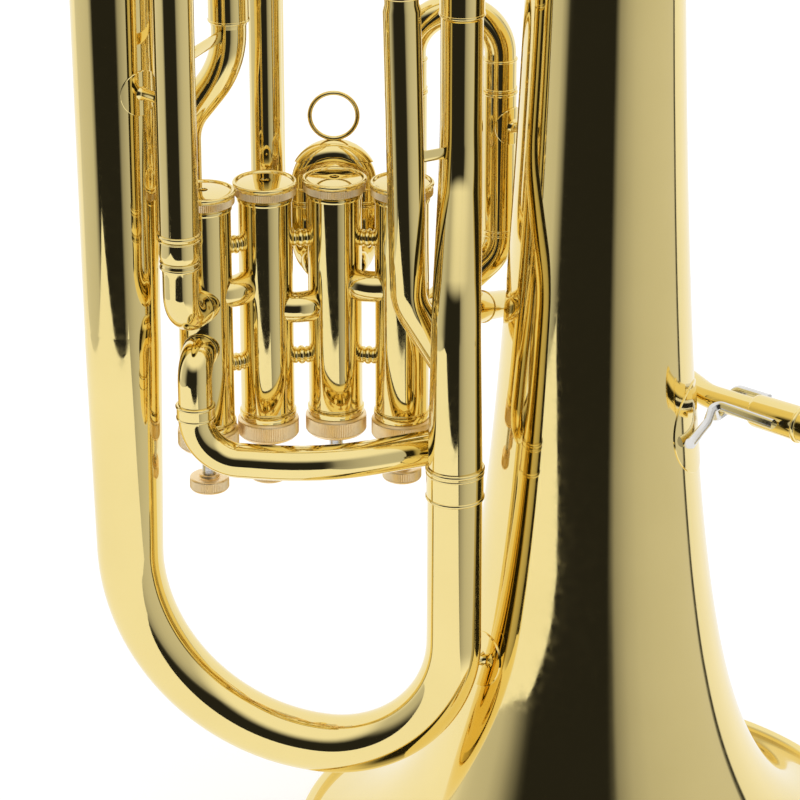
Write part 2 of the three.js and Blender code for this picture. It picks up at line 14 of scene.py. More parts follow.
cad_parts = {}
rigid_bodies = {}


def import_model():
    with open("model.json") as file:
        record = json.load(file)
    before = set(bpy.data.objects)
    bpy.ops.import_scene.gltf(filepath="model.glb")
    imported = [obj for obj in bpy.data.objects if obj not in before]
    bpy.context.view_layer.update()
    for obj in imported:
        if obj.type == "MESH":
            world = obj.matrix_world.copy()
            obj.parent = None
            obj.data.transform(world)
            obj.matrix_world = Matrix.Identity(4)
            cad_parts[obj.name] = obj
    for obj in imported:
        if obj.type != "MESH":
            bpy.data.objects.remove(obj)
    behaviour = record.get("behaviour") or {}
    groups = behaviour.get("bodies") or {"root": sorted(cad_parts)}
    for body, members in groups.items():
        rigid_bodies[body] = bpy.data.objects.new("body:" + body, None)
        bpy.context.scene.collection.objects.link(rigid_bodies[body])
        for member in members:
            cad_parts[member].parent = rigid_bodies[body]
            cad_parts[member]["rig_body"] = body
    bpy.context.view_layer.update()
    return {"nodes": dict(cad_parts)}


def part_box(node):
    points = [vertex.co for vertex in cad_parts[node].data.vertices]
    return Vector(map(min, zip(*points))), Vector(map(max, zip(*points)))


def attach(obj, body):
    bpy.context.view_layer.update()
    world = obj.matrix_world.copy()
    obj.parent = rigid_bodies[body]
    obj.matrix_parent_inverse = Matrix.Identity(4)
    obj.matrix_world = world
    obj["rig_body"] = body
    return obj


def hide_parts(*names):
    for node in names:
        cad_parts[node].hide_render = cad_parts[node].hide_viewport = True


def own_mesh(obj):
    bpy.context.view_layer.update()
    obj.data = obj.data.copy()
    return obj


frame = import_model()

# ---- Driving dimensions, in millimetres ----
MM = 0.001
SHEET = 0.6  # thickness of a drawn tube
LAP = 1.0  # how far a ferrule reaches over the tube next to it
BEND_STEP = math.radians(4)  # turn between two rings of a bend
FINE_STEP = math.radians(2.5)  # the same on the large bows
INNER_STEP = math.radians(10)  # the same inside a tube
TUBE_SIDES = 64
LARGE_SIDES = 112
BELL_SIDES = 220
KNURL_SAMPLES = 4  # points across one ridge of a knurl
CAP_RIDGES = 104
BUTTON_RIDGES = 68
STROKE = 13.8  # how far a piston is pressed

bell_low, bell_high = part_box("bell")
BELL_X = (bell_low.x + bell_high.x) / 2  # the bell's axis, in metres
RIM_RADIUS = (bell_high.x - bell_low.x) / 2 / MM
BELL_TOP = bell_high.z / MM


def box_mm(node):
    """Lowest and highest corner of a CAD node, in millimetres about the bell's axis."""
    low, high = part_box(node)
    axis = Vector((BELL_X, 0, 0))
    return (low - axis) / MM, (high - axis) / MM


def middle_mm(node):
    low, high = box_mm(node)
    return (low + high) / 2


VALVES = [middle_mm(f"valve_{number}_casing") for number in (1, 2, 3, 4)]
CASING_RADIUS = 12.4
CASING_BORE = 11.4
CASING_LOW = box_mm("valve_1_casing")[0].z
CASING_HIGH = box_mm("valve_1_casing")[1].z
BOTTOM_CAP_FACE = box_mm("valve_1_bottom_cap")[1].z
TOP_CAP_FACE = box_mm("valve_1_top_cap")[0].z
BUTTON_LOW = box_mm("valve_1_button")[0].z
BUTTON_HIGH = box_mm("valve_1_button")[1].z
STEM_RADIUS = 3.2
PISTON_RADIUS = 11
PISTON_LOW = 230
PISTON_HIGH = box_mm("valve_1_piston")[1].z

BRANCH = (-216.3, -10)
LEG = (-65.4, -43.4)
MAIN_INLET = (-89.8, -23)
MAIN_OUTLET = (-63, -8)
FIRST_LEGS = (-85.7, -44.8)
FIRST_Y = 37
SECOND_LEGS = (-133.8, -107.2)
SECOND_Y = 29.3
THIRD_LEGS_Y = (28.4, 52.4)
THIRD_X = -151
FOURTH_FRONT = (-187.6, -38.6)
FOURTH_REAR = (-166.5, 10)
CROSSOVER_START = (-182.6, -35)
FIRST_BRANCH_RADIUS = 7.75
SECOND_BRANCH_RADIUS = 6.7
FOURTH_BRANCH_RADIUS = 8.85
TOP_BOW_LEG_RADIUS = 12.6
BRANCH_RADIUS_AT_BRACE = 18.2
SECOND_BEND_Z = 327.2


# ---- Routes: straight stretches joined by round bends ----
class Route:
    """A corner is (x, y, z, bend radius); the first and last corners are the ends."""

    def __init__(self, corners):
        points = [Vector(corner[:3]) for corner in corners]
        self.pieces = []
        self.length = 0.0
        start = points[0]
        tangent = (points[1] - points[0]).normalized()
        side = Vector((1, 0, 0)) if abs(tangent.z) > 0.9 else Vector((0, 0, 1))
        side = (side - tangent * side.dot(tangent)).normalized()
        for i in range(1, len(points)):
            if i == len(points) - 1:
                self.add(start, tangent, side, (points[i] - start).length)
                break
            following = (points[i + 1] - points[i]).normalized()
            turn = tangent.angle(following)
            radius = corners[i][3]
            cut = radius * math.tan(turn / 2)
            bend_start = points[i] - tangent * cut
            self.add(start, tangent, side, (bend_start - start).length)
            axis = tangent.cross(following).normalized()
            self.add(bend_start, tangent, side, turn * radius, radius, axis)
            start = points[i] + following * cut
            side = Matrix.Rotation(turn, 3, axis) @ side
            tangent = following

    def add(self, start, tangent, side, size, radius=0.0, axis=None):
        self.pieces.append((self.length, size, start, tangent, side, radius, axis))
        self.length += size

    def stations(self, step):
        """Lengths along the route where a bent tube needs a ring."""
        found = [0.0]
        for begin, size, _, _, _, radius, _ in self.pieces:
            count = max(1, round(size / radius / step)) if radius else 1
            found += [begin + size * i / count for i in range(1, count + 1)]
        return found

    def frame_at(self, length):
        """The point at that length, and two directions square to the route there."""
        piece = self.pieces[0]
        for candidate in self.pieces:
            if candidate[0] <= length + 1e-4:
                piece = candidate
        begin, _, start, tangent, side, radius, axis = piece
        along = length - begin
        if not radius:
            return start + tangent * along, side, tangent.cross(side)
        angle = along / radius
        inward = axis.cross(tangent)
        point = start + inward * (radius * (1 - math.cos(angle)))
        point += tangent * (radius * math.sin(angle))
        turn = Matrix.Rotation(angle, 3, axis)
        return point, turn @ side, (turn @ tangent).cross(turn @ side)


def ring(centre, side, up, radius, sides, shape=None):
    """Points round a centre; shape gives a factor on the radius at each angle."""
    if radius < 1e-6:
        return [centre]
    points = []
    for i in range(sides):
        angle = 2 * math.pi * i / sides
        reach = radius * (shape(angle) if shape else 1)
        points.append(centre + side * (reach * math.cos(angle)) + up * (reach * math.sin(angle)))
    return points


# ---- Meshes ----
def strip(first, first_count, second, second_count):
    """Faces between two rings, given by their first vertex and their number of vertices."""
    faces = []
    for i in range(max(first_count, second_count)):
        j = i + 1
        a, b = first + i % first_count, first + j % first_count
        c, d = second + j % second_count, second + i % second_count
        corners = [a] if first_count == 1 else [a, b]
        corners += [c] if second_count == 1 else [c, d]
        faces.append(corners)
    return faces


def mesh_of(name, rings, closed):
    vertices = []
    starts = []
    for points in rings:
        starts.append(len(vertices))
        vertices += [Vector((BELL_X, 0, 0)) + point * MM for point in points]
    pairs = [(i, i + 1) for i in range(len(rings) - 1)]
    if closed:
        pairs.append((len(rings) - 1, 0))
    faces = []
    for i, j in pairs:
        if len(rings[i]) > 1 or len(rings[j]) > 1:
            faces += strip(starts[i], len(rings[i]), starts[j], len(rings[j]))
    mesh = bpy.data.meshes.new(name)
    mesh.from_pydata(vertices, [], faces)
    return mesh


def face_out(mesh):
    shape = bmesh.new()
    shape.from_mesh(mesh)
    bmesh.ops.recalc_face_normals(shape, faces=shape.faces)
    shape.to_mesh(mesh)
    shape.free()


def new_object(name, mesh):
    face_out(mesh)
    made = bpy.data.objects.new(name, mesh)
    bpy.context.scene.collection.objects.link(made)
    return made


def join(name, parts):
    """One object of several separate shells."""
    whole = bmesh.new()
    for part in parts:
        whole.from_mesh(part.data)
        bpy.data.objects.remove(part)
    mesh = bpy.data.meshes.new(name)
    whole.to_mesh(mesh)
    whole.free()
    return new_object(name, mesh)


def cut(made, cutters):
    """Takes the cutters away from the object, and deletes them."""
    for cutter in cutters:
        modifier = made.modifiers.new("cut", "BOOLEAN")
        modifier.operation = "DIFFERENCE"
        modifier.solver = "MANIFOLD"
        modifier.object = cutter
    bpy.context.view_layer.update()
    graph = bpy.context.evaluated_depsgraph_get()
    mesh = bpy.data.meshes.new_from_object(made.evaluated_get(graph))
    made.modifiers.clear()
    made.data = mesh
    for cutter in cutters:
        bpy.data.objects.remove(cutter)
    return made


# ---- Outlines: (length along the route, rise above the tube) ----
def bead(at, width=1.5, rise=0.45, base=0.0):
    """A half-round ring."""
    angles = [math.pi * i / 8 for i in range(9)]
    return [(at - math.cos(a) * width / 2, base + rise * math.sin(a)) for a in angles]


def band(start, end, rise=0.5, beads=(), width=1.5):
    """A ferrule or collar with softened ends, and beads on it."""
    edge = min(0.25, rise / 2)
    opening = [(0.0, 0.0), (0.0, rise - edge), (edge * 0.3, rise - edge * 0.3), (edge, rise)]
    marks = [(start + ahead, height) for ahead, height in opening]
    for at in beads:
        marks += bead(at, width, base=rise)
    return marks + [(end - ahead, height) for ahead, height in reversed(opening)]


def radius_at(radii, length):
    if length <= radii[0][0]:
        return radii[0][1]
    for (s0, r0), (s1, r1) in zip(radii, radii[1:]):
        if length <= s1:
            return r0 + (r1 - r0) * (length - s0) / (s1 - s0)
    return radii[-1][1]


def outside_of(route, radii, details, step):
    """The outline of a tube's outer skin as (length, radius)."""
    marks = [mark for detail in details for mark in detail]
    plain = route.stations(step) + [s for s, _ in radii]
    for s in plain:
        near = any(abs(s - mark[0]) < 0.2 for mark in marks)
        if near or s < 0 or s > route.length + 1e-6:
            continue
        rise = 0.0
        for detail in details:
            if detail[0][0] < s < detail[-1][0]:
                rise = max(rise, detail[len(detail) // 2][1])
        marks.append((s, rise))
    marks.sort(key=lambda mark: mark[0])
    return [(s, radius_at(radii, s) + rise) for s, rise in marks]


def tube_rings(corners, radii, wall, details, sides, step):
    route = Route(corners)
    outside = outside_of(route, radii, details, step)
    changes = [s for s, _ in radii if 0 < s < route.length]
    coarse = sorted(set(route.stations(INNER_STEP) + changes))
    spaced = [s for i, s in enumerate(coarse) if i == 0 or s - coarse[i - 1] > 0.05]
    inside = [(s, radius_at(radii, s) - wall) for s in reversed(spaced)]
    rings = []
    for s, radius in outside + inside:
        point, side, up = route.frame_at(s)
        rings.append(ring(point, side, up, radius, sides))
    return rings


def tube(name, corners, radii, wall=SHEET, details=(), sides=TUBE_SIDES, step=BEND_STEP):
    """A hollow tube along a route, with its ferrules and beads turned into its skin."""
    table = radii if isinstance(radii, list) else [(0, radii)]
    rings = tube_rings(corners, table, wall, details, sides, step)
    return new_object(name, mesh_of(name, rings, True))


def bar(name, corners, radii, sides=32, shape=None, details=()):
    """A solid round bar along a route."""
    route = Route(corners)
    table = radii if isinstance(radii, list) else [(0, radii)]
    rings = []
    outside = outside_of(route, table, details, BEND_STEP)
    for s, radius in [(0, 0)] + outside + [(route.length, 0)]:
        point, side, up = route.frame_at(s)
        rings.append(ring(point, side, up, radius, sides, shape))
    return new_object(name, mesh_of(name, rings, False))


def lathe(name, x, y, outline, sides, knurl=None):
    """Turns an outline of (radius, height) about an upright axis.

    knurl is (lowest, highest, ridges, depth, least radius): rings between those heights are ridged
    where they are wider than the least radius.
    """
    side, up = Vector((1, 0, 0)), Vector((0, 1, 0))
    rings = []
    for radius, height in outline:
        ridged = knurl and knurl[0] <= height <= knurl[1] and radius > knurl[4]
        shape = ridge_shape(knurl[2], knurl[3] / radius) if ridged else None
        rings.append(ring(Vector((x, y, height)), side, up, radius, sides, shape))
    closed = outline[0][0] > 1e-6
    return new_object(name, mesh_of(name, rings, closed))


def ridge_shape(count, depth):
    return lambda angle: 1 - depth * (0.5 - 0.5 * math.cos(count * angle))


def turned_between(name, start, end, outline, sides):
    """Turns an outline of (radius, length) about the line from start to end."""
    route = Route([tuple(start), tuple(end)])
    rings = []
    for radius, s in outline:
        point, side, up = route.frame_at(s)
        rings.append(ring(point, side, up, radius, sides))
    return new_object(name, mesh_of(name, rings, outline[0][0] > 1e-6))


def arc(centre_r, centre_h, radius, start, end, count):
    """Points of an arc in an outline, by angles in degrees."""
    points = []
    for i in range(count + 1):
        angle = math.radians(start + (end - start) * i / count)
        points.append((centre_r + radius * math.cos(angle), centre_h + radius * math.sin(angle)))
    return points


def wire(name, points, radius, sides, closed=False):
    """A round wire through points; its rings turn as little as they can."""
    rings = []
    count = len(points)
    side = None
    for i, point in enumerate(points):
        ahead = points[(i + 1) % count] if closed or i < count - 1 else point
        behind = points[i - 1] if closed or i > 0 else point
        tangent = (ahead - behind).normalized()
        if side is None:
            side = tangent.orthogonal()
        side = (side - tangent * side.dot(tangent)).normalized()
        rings.append(ring(point, side, tangent.cross(side), radius, sides))
    if not closed:
        rings = [[points[0]]] + rings + [[points[-1]]]
    return new_object(name, mesh_of(name, rings, closed))


# ---- Materials ----
def node_tree(material):
    material.use_nodes = True
    tree = material.node_tree
    shader = tree.nodes["Principled BSDF"]
    return tree, shader


def noise(tree, scale, detail=2.0, stretch=None):
    coordinates = tree.nodes.new("ShaderNodeTexCoord")
    texture = tree.nodes.new("ShaderNodeTexNoise")
    texture.inputs["Scale"].default_value = scale
    texture.inputs["Detail"].default_value = detail
    source = coordinates.outputs["Object"]
    if stretch:
        mapping = tree.nodes.new("ShaderNodeMapping")
        mapping.inputs["Scale"].default_value = stretch
        tree.links.new(source, mapping.inputs["Vector"])
        source = mapping.outputs["Vector"]
    tree.links.new(source, texture.inputs["Vector"])
    return texture.outputs["Fac"]


def spread(tree, value, low, high, start=0.3, end=0.7):
    """Maps a noise value onto a range."""
    mapped = tree.nodes.new("ShaderNodeMapRange")
    mapped.inputs["From Min"].default_value = start
    mapped.inputs["From Max"].default_value = end
    mapped.inputs["To Min"].default_value = low
    mapped.inputs["To Max"].default_value = high
    tree.links.new(value, mapped.inputs["Value"])
    return mapped.outputs["Result"]


def tone(tree, value, first, second):
    """Two colours mixed by a value."""
    mixed = tree.nodes.new("ShaderNodeMix")
    mixed.data_type = "RGBA"
    mixed.inputs["A"].default_value = (*first, 1)
    mixed.inputs["B"].default_value = (*second, 1)
    tree.links.new(value, mixed.inputs["Factor"])
    return mixed.outputs["Result"]


def bumps(tree, heights):
    """A chain of bumps of (height value, depth in metres)."""
    normal = None
    for value, depth in heights:
        bump = tree.nodes.new("ShaderNodeBump")
        bump.inputs["Strength"].default_value = 1.0
        bump.inputs["Distance"].default_value = depth
        tree.links.new(value, bump.inputs["Height"])
        if normal is not None:
            tree.links.new(normal, bump.inputs["Normal"])
        normal = bump.outputs["Normal"]
    return normal


# Each finish varies its colour, its roughness and its relief by noise of (scale, detail, stretch).
FINISHES = {
    # Polished yellow brass under clear lacquer: slow waves in the sheet, faint wiping marks.
    "lacquered_brass": {
        "colours": [(0.905, 0.735, 0.31), (0.87, 0.705, 0.29)],
        "tint": (22, 3),
        "grain": (260, 4),
        "roughness": (0.025, 0.075),
        "relief": [((38, 1), 4.5e-5), ((900, 3, (1, 1, 0.06)), 2.5e-7)],
        "inputs": {"Metallic": 1.0, "Coat Weight": 0.3, "Coat Roughness": 0.02, "Coat IOR": 1.5},
    },
    # Turned caps and buttons, with a fine satin grain.
    "satin_brass": {
        "colours": [(0.98, 0.785, 0.48), (0.94, 0.735, 0.42)],
        "tint": (420, 4),
        "grain": (1500, 3),
        "roughness": (0.34, 0.46),
        "relief": [((3000, 2), 1.5e-6)],
        "inputs": {"Metallic": 1.0, "Coat Weight": 0.25, "Coat Roughness": 0.15},
    },
    "nickel_silver": {
        "colours": [(0.80, 0.79, 0.77), (0.72, 0.71, 0.68)],
        "tint": (90, 4),
        "grain": (700, 3),
        "roughness": (0.10, 0.22),
        "relief": [((500, 2), 4e-6)],
        "inputs": {"Metallic": 1.0},
    },
    # Honed piston: fine lines run round it.
    "piston_metal": {
        "colours": [(0.70, 0.68, 0.64), (0.58, 0.56, 0.53)],
        "tint": (400, 3, (0.05, 0.05, 8)),
        "grain": (400, 3, (0.05, 0.05, 8)),
        "roughness": (0.18, 0.34),
        "relief": [((400, 3, (0.05, 0.05, 8)), 1.5e-6)],
        "inputs": {"Metallic": 1.0},
    },
    "spring_steel": {
        "colours": [(0.42, 0.42, 0.43), (0.30, 0.29, 0.28)],
        "tint": (300, 4),
        "grain": (1200, 2),
        "roughness": (0.25, 0.42),
        "relief": [((1800, 2), 1.2e-6)],
        "inputs": {"Metallic": 1.0},
    },
    # Mother-of-pearl disc under the finger.
    "pearl": {
        "colours": [(0.82, 0.80, 0.76), (0.66, 0.70, 0.72)],
        "tint": (220, 5),
        "grain": (500, 2),
        "roughness": (0.15, 0.28),
        "relief": [((260, 3), 6e-6)],
        "inputs": {"Coat Weight": 0.6, "Sheen Weight": 0.2},
    },
}


def finish_of(name):
    look = FINISHES[name]
    material = bpy.data.materials.new(name)
    tree, shader = node_tree(material)
    tint = spread(tree, noise(tree, *look["tint"]), 0, 1)
    tree.links.new(tone(tree, tint, *look["colours"]), shader.inputs["Base Color"])
    grain = spread(tree, noise(tree, *look["grain"]), *look["roughness"])
    tree.links.new(grain, shader.inputs["Roughness"])
    heights = [(noise(tree, *pattern), depth) for pattern, depth in look["relief"]]
    tree.links.new(bumps(tree, heights), shader.inputs["Normal"])
    for socket, value in look["inputs"].items():
        shader.inputs[socket].default_value = value
    return material


def cork():
    material = bpy.data.materials.new("cork")
    tree, shader = node_tree(material)
    grains = spread(tree, noise(tree, 1400, 4), 0, 1, 0.4, 0.6)
    colour = tone(tree, grains, (0.46, 0.28, 0.13), (0.20, 0.11, 0.05))
    tree.links.new(colour, shader.inputs["Base Color"])
    tree.links.new(spread(tree, grains, 0.75, 0.95, 0, 1), shader.inputs["Roughness"])
    tree.links.new(bumps(tree, [(grains, 6e-5)]), shader.inputs["Normal"])
    return material


MATERIALS = {name: finish_of(name) for name in FINISHES}
MATERIALS["cork"] = cork()


def dress(made, material, node=None, body="instrument_body", smooth_under=34):
    """Shades, paints and mounts a finished piece."""
    made.data.materials.clear()
    made.data.materials.append(MATERIALS[material])
    made.data.shade_smooth()
    made.data.set_sharp_from_angle(angle=math.radians(smooth_under))
    if node:
        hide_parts(node)
        body = frame["nodes"][node]["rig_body"]
    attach(made, body)
    return made


def brass_tube(node, corners, radii, **options):
    """The polished tube that stands for a CAD node."""
    dress(tube(node + "_skin", corners, radii, **options), "lacquered_brass", node)


# ---- Bell ----
HORN_POWER = 0.364
HORN_OFFSET = 16.4
HORN_SHIFT = -9.6
RIM_BEAD = 2.35


def horn_radius(z):
    return HORN_SHIFT + (RIM_RADIUS - HORN_SHIFT) * (HORN_OFFSET / (z + HORN_OFFSET)) ** HORN_POWER


def horn_slope(z):
    """How fast the radius shrinks with height."""
    return horn_radius(z - 0.05) * 10 - horn_radius(z + 0.05) * 10


def bell():
    """A spun flare whose edge is rolled over a wire."""
    count = 130
    lowest = 1.5
    heights = [lowest + (BELL_TOP - lowest) * (1 - i / count) ** 2.2 for i in range(count + 1)]
    skin = [(horn_radius(z), z) for z in heights]
    edge = RIM_RADIUS - RIM_BEAD
    rolled = arc(edge, RIM_BEAD, RIM_BEAD, 170, -90, 26)
    inner = []
    for radius, z in reversed(skin[::2]):
        slope = horn_slope(z)
        stretch = math.hypot(1, slope)
        inner.append((radius - SHEET / stretch, z - SHEET * slope / stretch))
    made = lathe("bell_skin", 0, 0, skin + rolled + inner, BELL_SIDES)
    dress(made, "lacquered_brass", "bell")


# ---- Bows and branches ----
def bottom_bow():
    start = BELL_TOP - LAP
    straight_end = 510
    radius = math.hypot(*BRANCH) / 2
    corners = [
        (*BRANCH, start),
        (*BRANCH, straight_end + radius, radius - 0.01),
        (0, 0, straight_end + radius, radius - 0.01),
        (0, 0, start),
    ]
    length = Route(corners).length
    ferrule = 15.0
    radii = [(0, 19.6), (length, 33.2)]
    details = [
        band(0, ferrule, 0.7, beads=(1.4, ferrule - 1.4)),
        band(length - ferrule, length, 0.7, beads=(length - ferrule + 1.4, length - 1.4)),
    ]
    brass_tube(
        "bottom_bow", corners, radii, wall=1.0, details=details, sides=LARGE_SIDES, step=FINE_STEP
    )


def outer_branch():
    low = box_mm("outer_branch")[0].z
    corners = [(*BRANCH, low), (*BRANCH, BELL_TOP)]
    radii = [(0, 17.4), (154, 18.5), (BELL_TOP - low, 19.3)]
    brass_tube("outer_branch", corners, radii, sides=LARGE_SIDES)


def top_bow():
    across = math.hypot(BRANCH[0] - LEG[0], BRANCH[1] - LEG[1])
    right_bend = 61.5
    left_bend = across - right_bend
    low = 67.3
    corners = [
        (*LEG, 201.9),
        (*LEG, low, right_bend - 0.01),
        (*BRANCH, low, left_bend - 0.01),
        (*BRANCH, 272.3),
    ]
    radii = [(0, 12.5), (66, TOP_BOW_LEG_RADIUS), (160, 13.7), (306, 15.3), (390, 16.9), (418, 17.4)]
    brass_tube("top_bow", corners, radii, sides=LARGE_SIDES, step=FINE_STEP)


def top_bow_ferrule():
    low, high = box_mm("top_bow_ferrule")
    bottom, top = low.z - LAP, high.z + LAP
    length = top - bottom
    corners = [(*LEG, bottom), (*LEG, top)]
    details = [bead(1.0, 1.8, 0.5), bead(length - 1.2, 1.8, 0.5), bead(length - 3.4, 1.2, 0.3)]
    brass_tube("top_bow_ferrule", corners, 13.05, wall=1.3, details=details, sides=96)


def tuning_outlet_branch():
    corners = [
        (*MAIN_OUTLET, 428),
        (*MAIN_OUTLET, 348, 50),
        (*LEG, 290, 50),
        (*LEG, 216.7),
    ]
    radii = [(0, 8.95), (10.5, 8.95), (11, 9.5), (60, 9.6), (150, 11.1), (220, 12.4)]
    brass_tube("tuning_outlet_branch", corners, radii, sides=96)


def crossover_tube():
    corners = [
        (*CROSSOVER_START, 237.6),
        (*CROSSOVER_START, 217.3, 20),
        (-126, -44.5, 217.3, 90),
        (-64.5, -19, 217.3, 15),
        (-64.5, -19, 250, 22),
        (-86.4, -23, 288.5, 24),
        (*MAIN_INLET, 436),
    ]
    radii = [(0, 8), (200, 8.2), (225, 8.4), (341, 8.4), (344, 7.6)]
    brass_tube("crossover_tube", corners, radii, sides=96)


def crossover_ferrule():
    low, high = box_mm("crossover_ferrule")
    bottom, top = low.z - LAP, high.z + LAP
    corners = [(*CROSSOVER_START, bottom), (*CROSSOVER_START, top)]
    details = [bead(0.7, 1.3, 0.3), bead(top - bottom - 0.9, 1.6, 0.5)]
    brass_tube("crossover_ferrule", corners, 8.6, wall=1.2, details=details, sides=80)


# ---- Branches into the valves ----
def drop(x, y, top, low, bend):
    return [(x, y, top), (x, y, low, bend)]


def sleeve_top(*, inner, outer, length):
    """Radii and beads of a branch whose first stretch is a slide's sleeve."""
    radii = [(0, outer), (length, outer), (length + 0.05, inner)]
    return radii, [bead(0.9, 1.6, 0.5), bead(length - 0.6, 1.3, 0.3)]


Branch = namedtuple("Branch", "valve corners radii details")
BRANCHES = {
    "leadpipe": Branch(
        0,
        [
            (86.2, -8.9, 225),
            (53.5, 19, 224.5, 25),
            (40, 45, 226, 25),
            (12, 60, 236, 30),
            (-31, 58, 257, 38),
            (-58, 18, 269, 28),
            (-84, 3, 271),
        ],
        [(0, 5.5), (170, 6.4), (196, 7.0)],
        [band(188, 205, 0.45, beads=(189.2, 203.8), width=1.2)],
    ),
    "first_slide_left_branch": Branch(
        0,
        [*drop(FIRST_LEGS[0], FIRST_Y, 368.8, 303, 13), (-88.5, 8, 303)],
        [(0, FIRST_BRANCH_RADIUS)],
        [bead(0.9, 1.6, 0.5)],
    ),
    "first_slide_right_branch": Branch(
        0,
        [*drop(FIRST_LEGS[1], FIRST_Y, 368.8, 291, 18), (-80, 33, 258, 14), (-88, 8, 256)],
        [(0, FIRST_BRANCH_RADIUS)],
        [bead(0.9, 1.6, 0.5), bead(67.0, 1.2, 0.3), bead(69.2, 1.0, 0.2)],
    ),
    "second_slide_left_branch": Branch(
        1,
        [*drop(SECOND_LEGS[0], SECOND_Y, 317.5, 293, 9), (-127, 12, 293)],
        [(0, SECOND_BRANCH_RADIUS)],
        [bead(0.8, 1.4, 0.45)],
    ),
    "second_slide_right_branch": Branch(
        1,
        [*drop(SECOND_LEGS[1], SECOND_Y, 317.5, 293, 9), (-113, 12, 293)],
        [(0, SECOND_BRANCH_RADIUS)],
        [bead(0.8, 1.4, 0.45)],
    ),
    "third_slide_front_branch": Branch(
        2,
        [*drop(THIRD_X, THIRD_LEGS_Y[0], 500, 297, 12.5), (-151.2, 10, 297)],
        *sleeve_top(inner=7.5, outer=8.2, length=75),
    ),
    "third_slide_rear_branch": Branch(
        2,
        [*drop(THIRD_X, THIRD_LEGS_Y[1], 500, 262, 18), (-151.2, 10, 262)],
        *sleeve_top(inner=7.5, outer=8.2, length=75),
    ),
    "fourth_slide_front_branch": Branch(
        3,
        [*drop(*FOURTH_FRONT, 468, 285.6, 13), (-178.6, -15.5, 285.6)],
        [(0, FOURTH_BRANCH_RADIUS), (150, FOURTH_BRANCH_RADIUS), (152, 8.5), (160, 8.0)],
        [
            bead(0.9, 1.6, 0.5),
            band(140.2, 157.2, 0.4, beads=(141.1, 156.3), width=1.5),
            bead(143.5, 1.0, 0.65),
            bead(153.7, 1.0, 0.65),
        ],
    ),
    "fourth_slide_rear_branch": Branch(
        3,
        [*drop(*FOURTH_REAR, 468, 390, 45), (-188, 15, 361, 26), (-188, 15, 301, 14), (-180.5, -4, 301)],
        *sleeve_top(inner=7.95, outer=9.1, length=58),
    ),
    "valve_4_outlet_elbow": Branch(
        3,
        [(*CROSSOVER_START, 243.3), (*CROSSOVER_START, 264.4, 10), (-179.4, -16, 264.4)],
        [(0, 7.75)],
        [],
    ),
}

KNUCKLE_RADIUS = 7.2
KNUCKLE_HEIGHTS = (286.8, 276.6, 288)


def knuckle_route(left, right, z):
    reach = 6
    forward = 6
    mid = ((left.x + right.x) / 2, (left.y + right.y) / 2 - forward, z, 13)
    return [(right.x - reach, right.y - 1, z), mid, (left.x + reach, left.y - 1, z)]


def casing_space(valve):
    """A cylinder just inside a casing's skin, that trims what enters it."""
    radius = CASING_RADIUS - 0.15
    outline = [(0, 195), (radius, 195), (radius, 345), (0, 345)]
    return lathe("space", valve.x, valve.y, outline, 96)


def bore_of(corners, radius):
    return bar("bore", corners, radius, 48)


def collar(corners, valve):
    """The soldered collar where a branch meets its casing."""
    route = Route(corners)
    s = route.length
    while s > 0:
        point = route.frame_at(s)[0]
        if math.hypot(point.x - valve.x, point.y - valve.y) > CASING_RADIUS:
            break
        s -= 0.1
    return band(s - 1.1, route.length, 0.45)


def valve_branches():
    for node, data in BRANCHES.items():
        valve = VALVES[data.valve]
        details = data.details + [collar(data.corners, valve)]
        made = tube(node + "_skin", data.corners, data.radii, details=details)
        dress(cut(made, [casing_space(valve)]), "lacquered_brass", node)


def knuckles():
    for i, z in enumerate(KNUCKLE_HEIGHTS):
        node = f"knuckle_{i + 1}_{i + 2}"
        corners = knuckle_route(VALVES[i + 1], VALVES[i], z)
        made = tube(node + "_skin", corners, KNUCKLE_RADIUS)
        spaces = [casing_space(VALVES[i]), casing_space(VALVES[i + 1])]
        dress(cut(made, spaces), "lacquered_brass", node)


# ---- Valves ----
def casing(number, valve):
    """A drawn casing with a ring at each cap, and a hole for each branch."""
    node = f"valve_{number}_casing"
    length = CASING_HIGH - CASING_LOW
    corners = [(valve.x, valve.y, CASING_LOW), (valve.x, valve.y, CASING_HIGH)]
    details = [band(7.4, 9.9, 0.7), bead(10.6, 0.8, 0.25), band(length - 7.2, length - 5.4, 0.5)]
    made = tube(node + "_skin", corners, CASING_RADIUS, CASING_RADIUS - CASING_BORE, details, 96)
    bores = [
        bore_of(data.corners, data.radii[-1][1] - SHEET)
        for data in BRANCHES.values()
        if data.valve == number - 1
    ]
    for i, z in enumerate(KNUCKLE_HEIGHTS):
        if number - 1 in (i, i + 1):
            bores.append(bore_of(knuckle_route(VALVES[i + 1], VALVES[i], z), KNUCKLE_RADIUS - SHEET))
    dress(cut(made, bores), "lacquered_brass", node)


def polish_outside(made, valve, band_low, band_high, reach):
    """Gives every face but those of the milled band the polished lacquer of the tubes."""
    made.data.materials.append(MATERIALS["lacquered_brass"])
    axis = Vector((BELL_X + valve.x * MM, valve.y * MM, 0))
    for face in made.data.polygons:
        out = (face.center - axis).to_2d().length / MM
        milled = band_low < face.center.z / MM < band_high and out > reach
        if not milled:
            face.material_index = 1


def milled(node, valve, outline, knurl):
    """A turned satin piece with a milled band."""
    made = lathe(node + "_skin", valve.x, valve.y, outline, knurl[2] * KNURL_SAMPLES, knurl)
    return dress(made, "satin_brass", node, smooth_under=28)


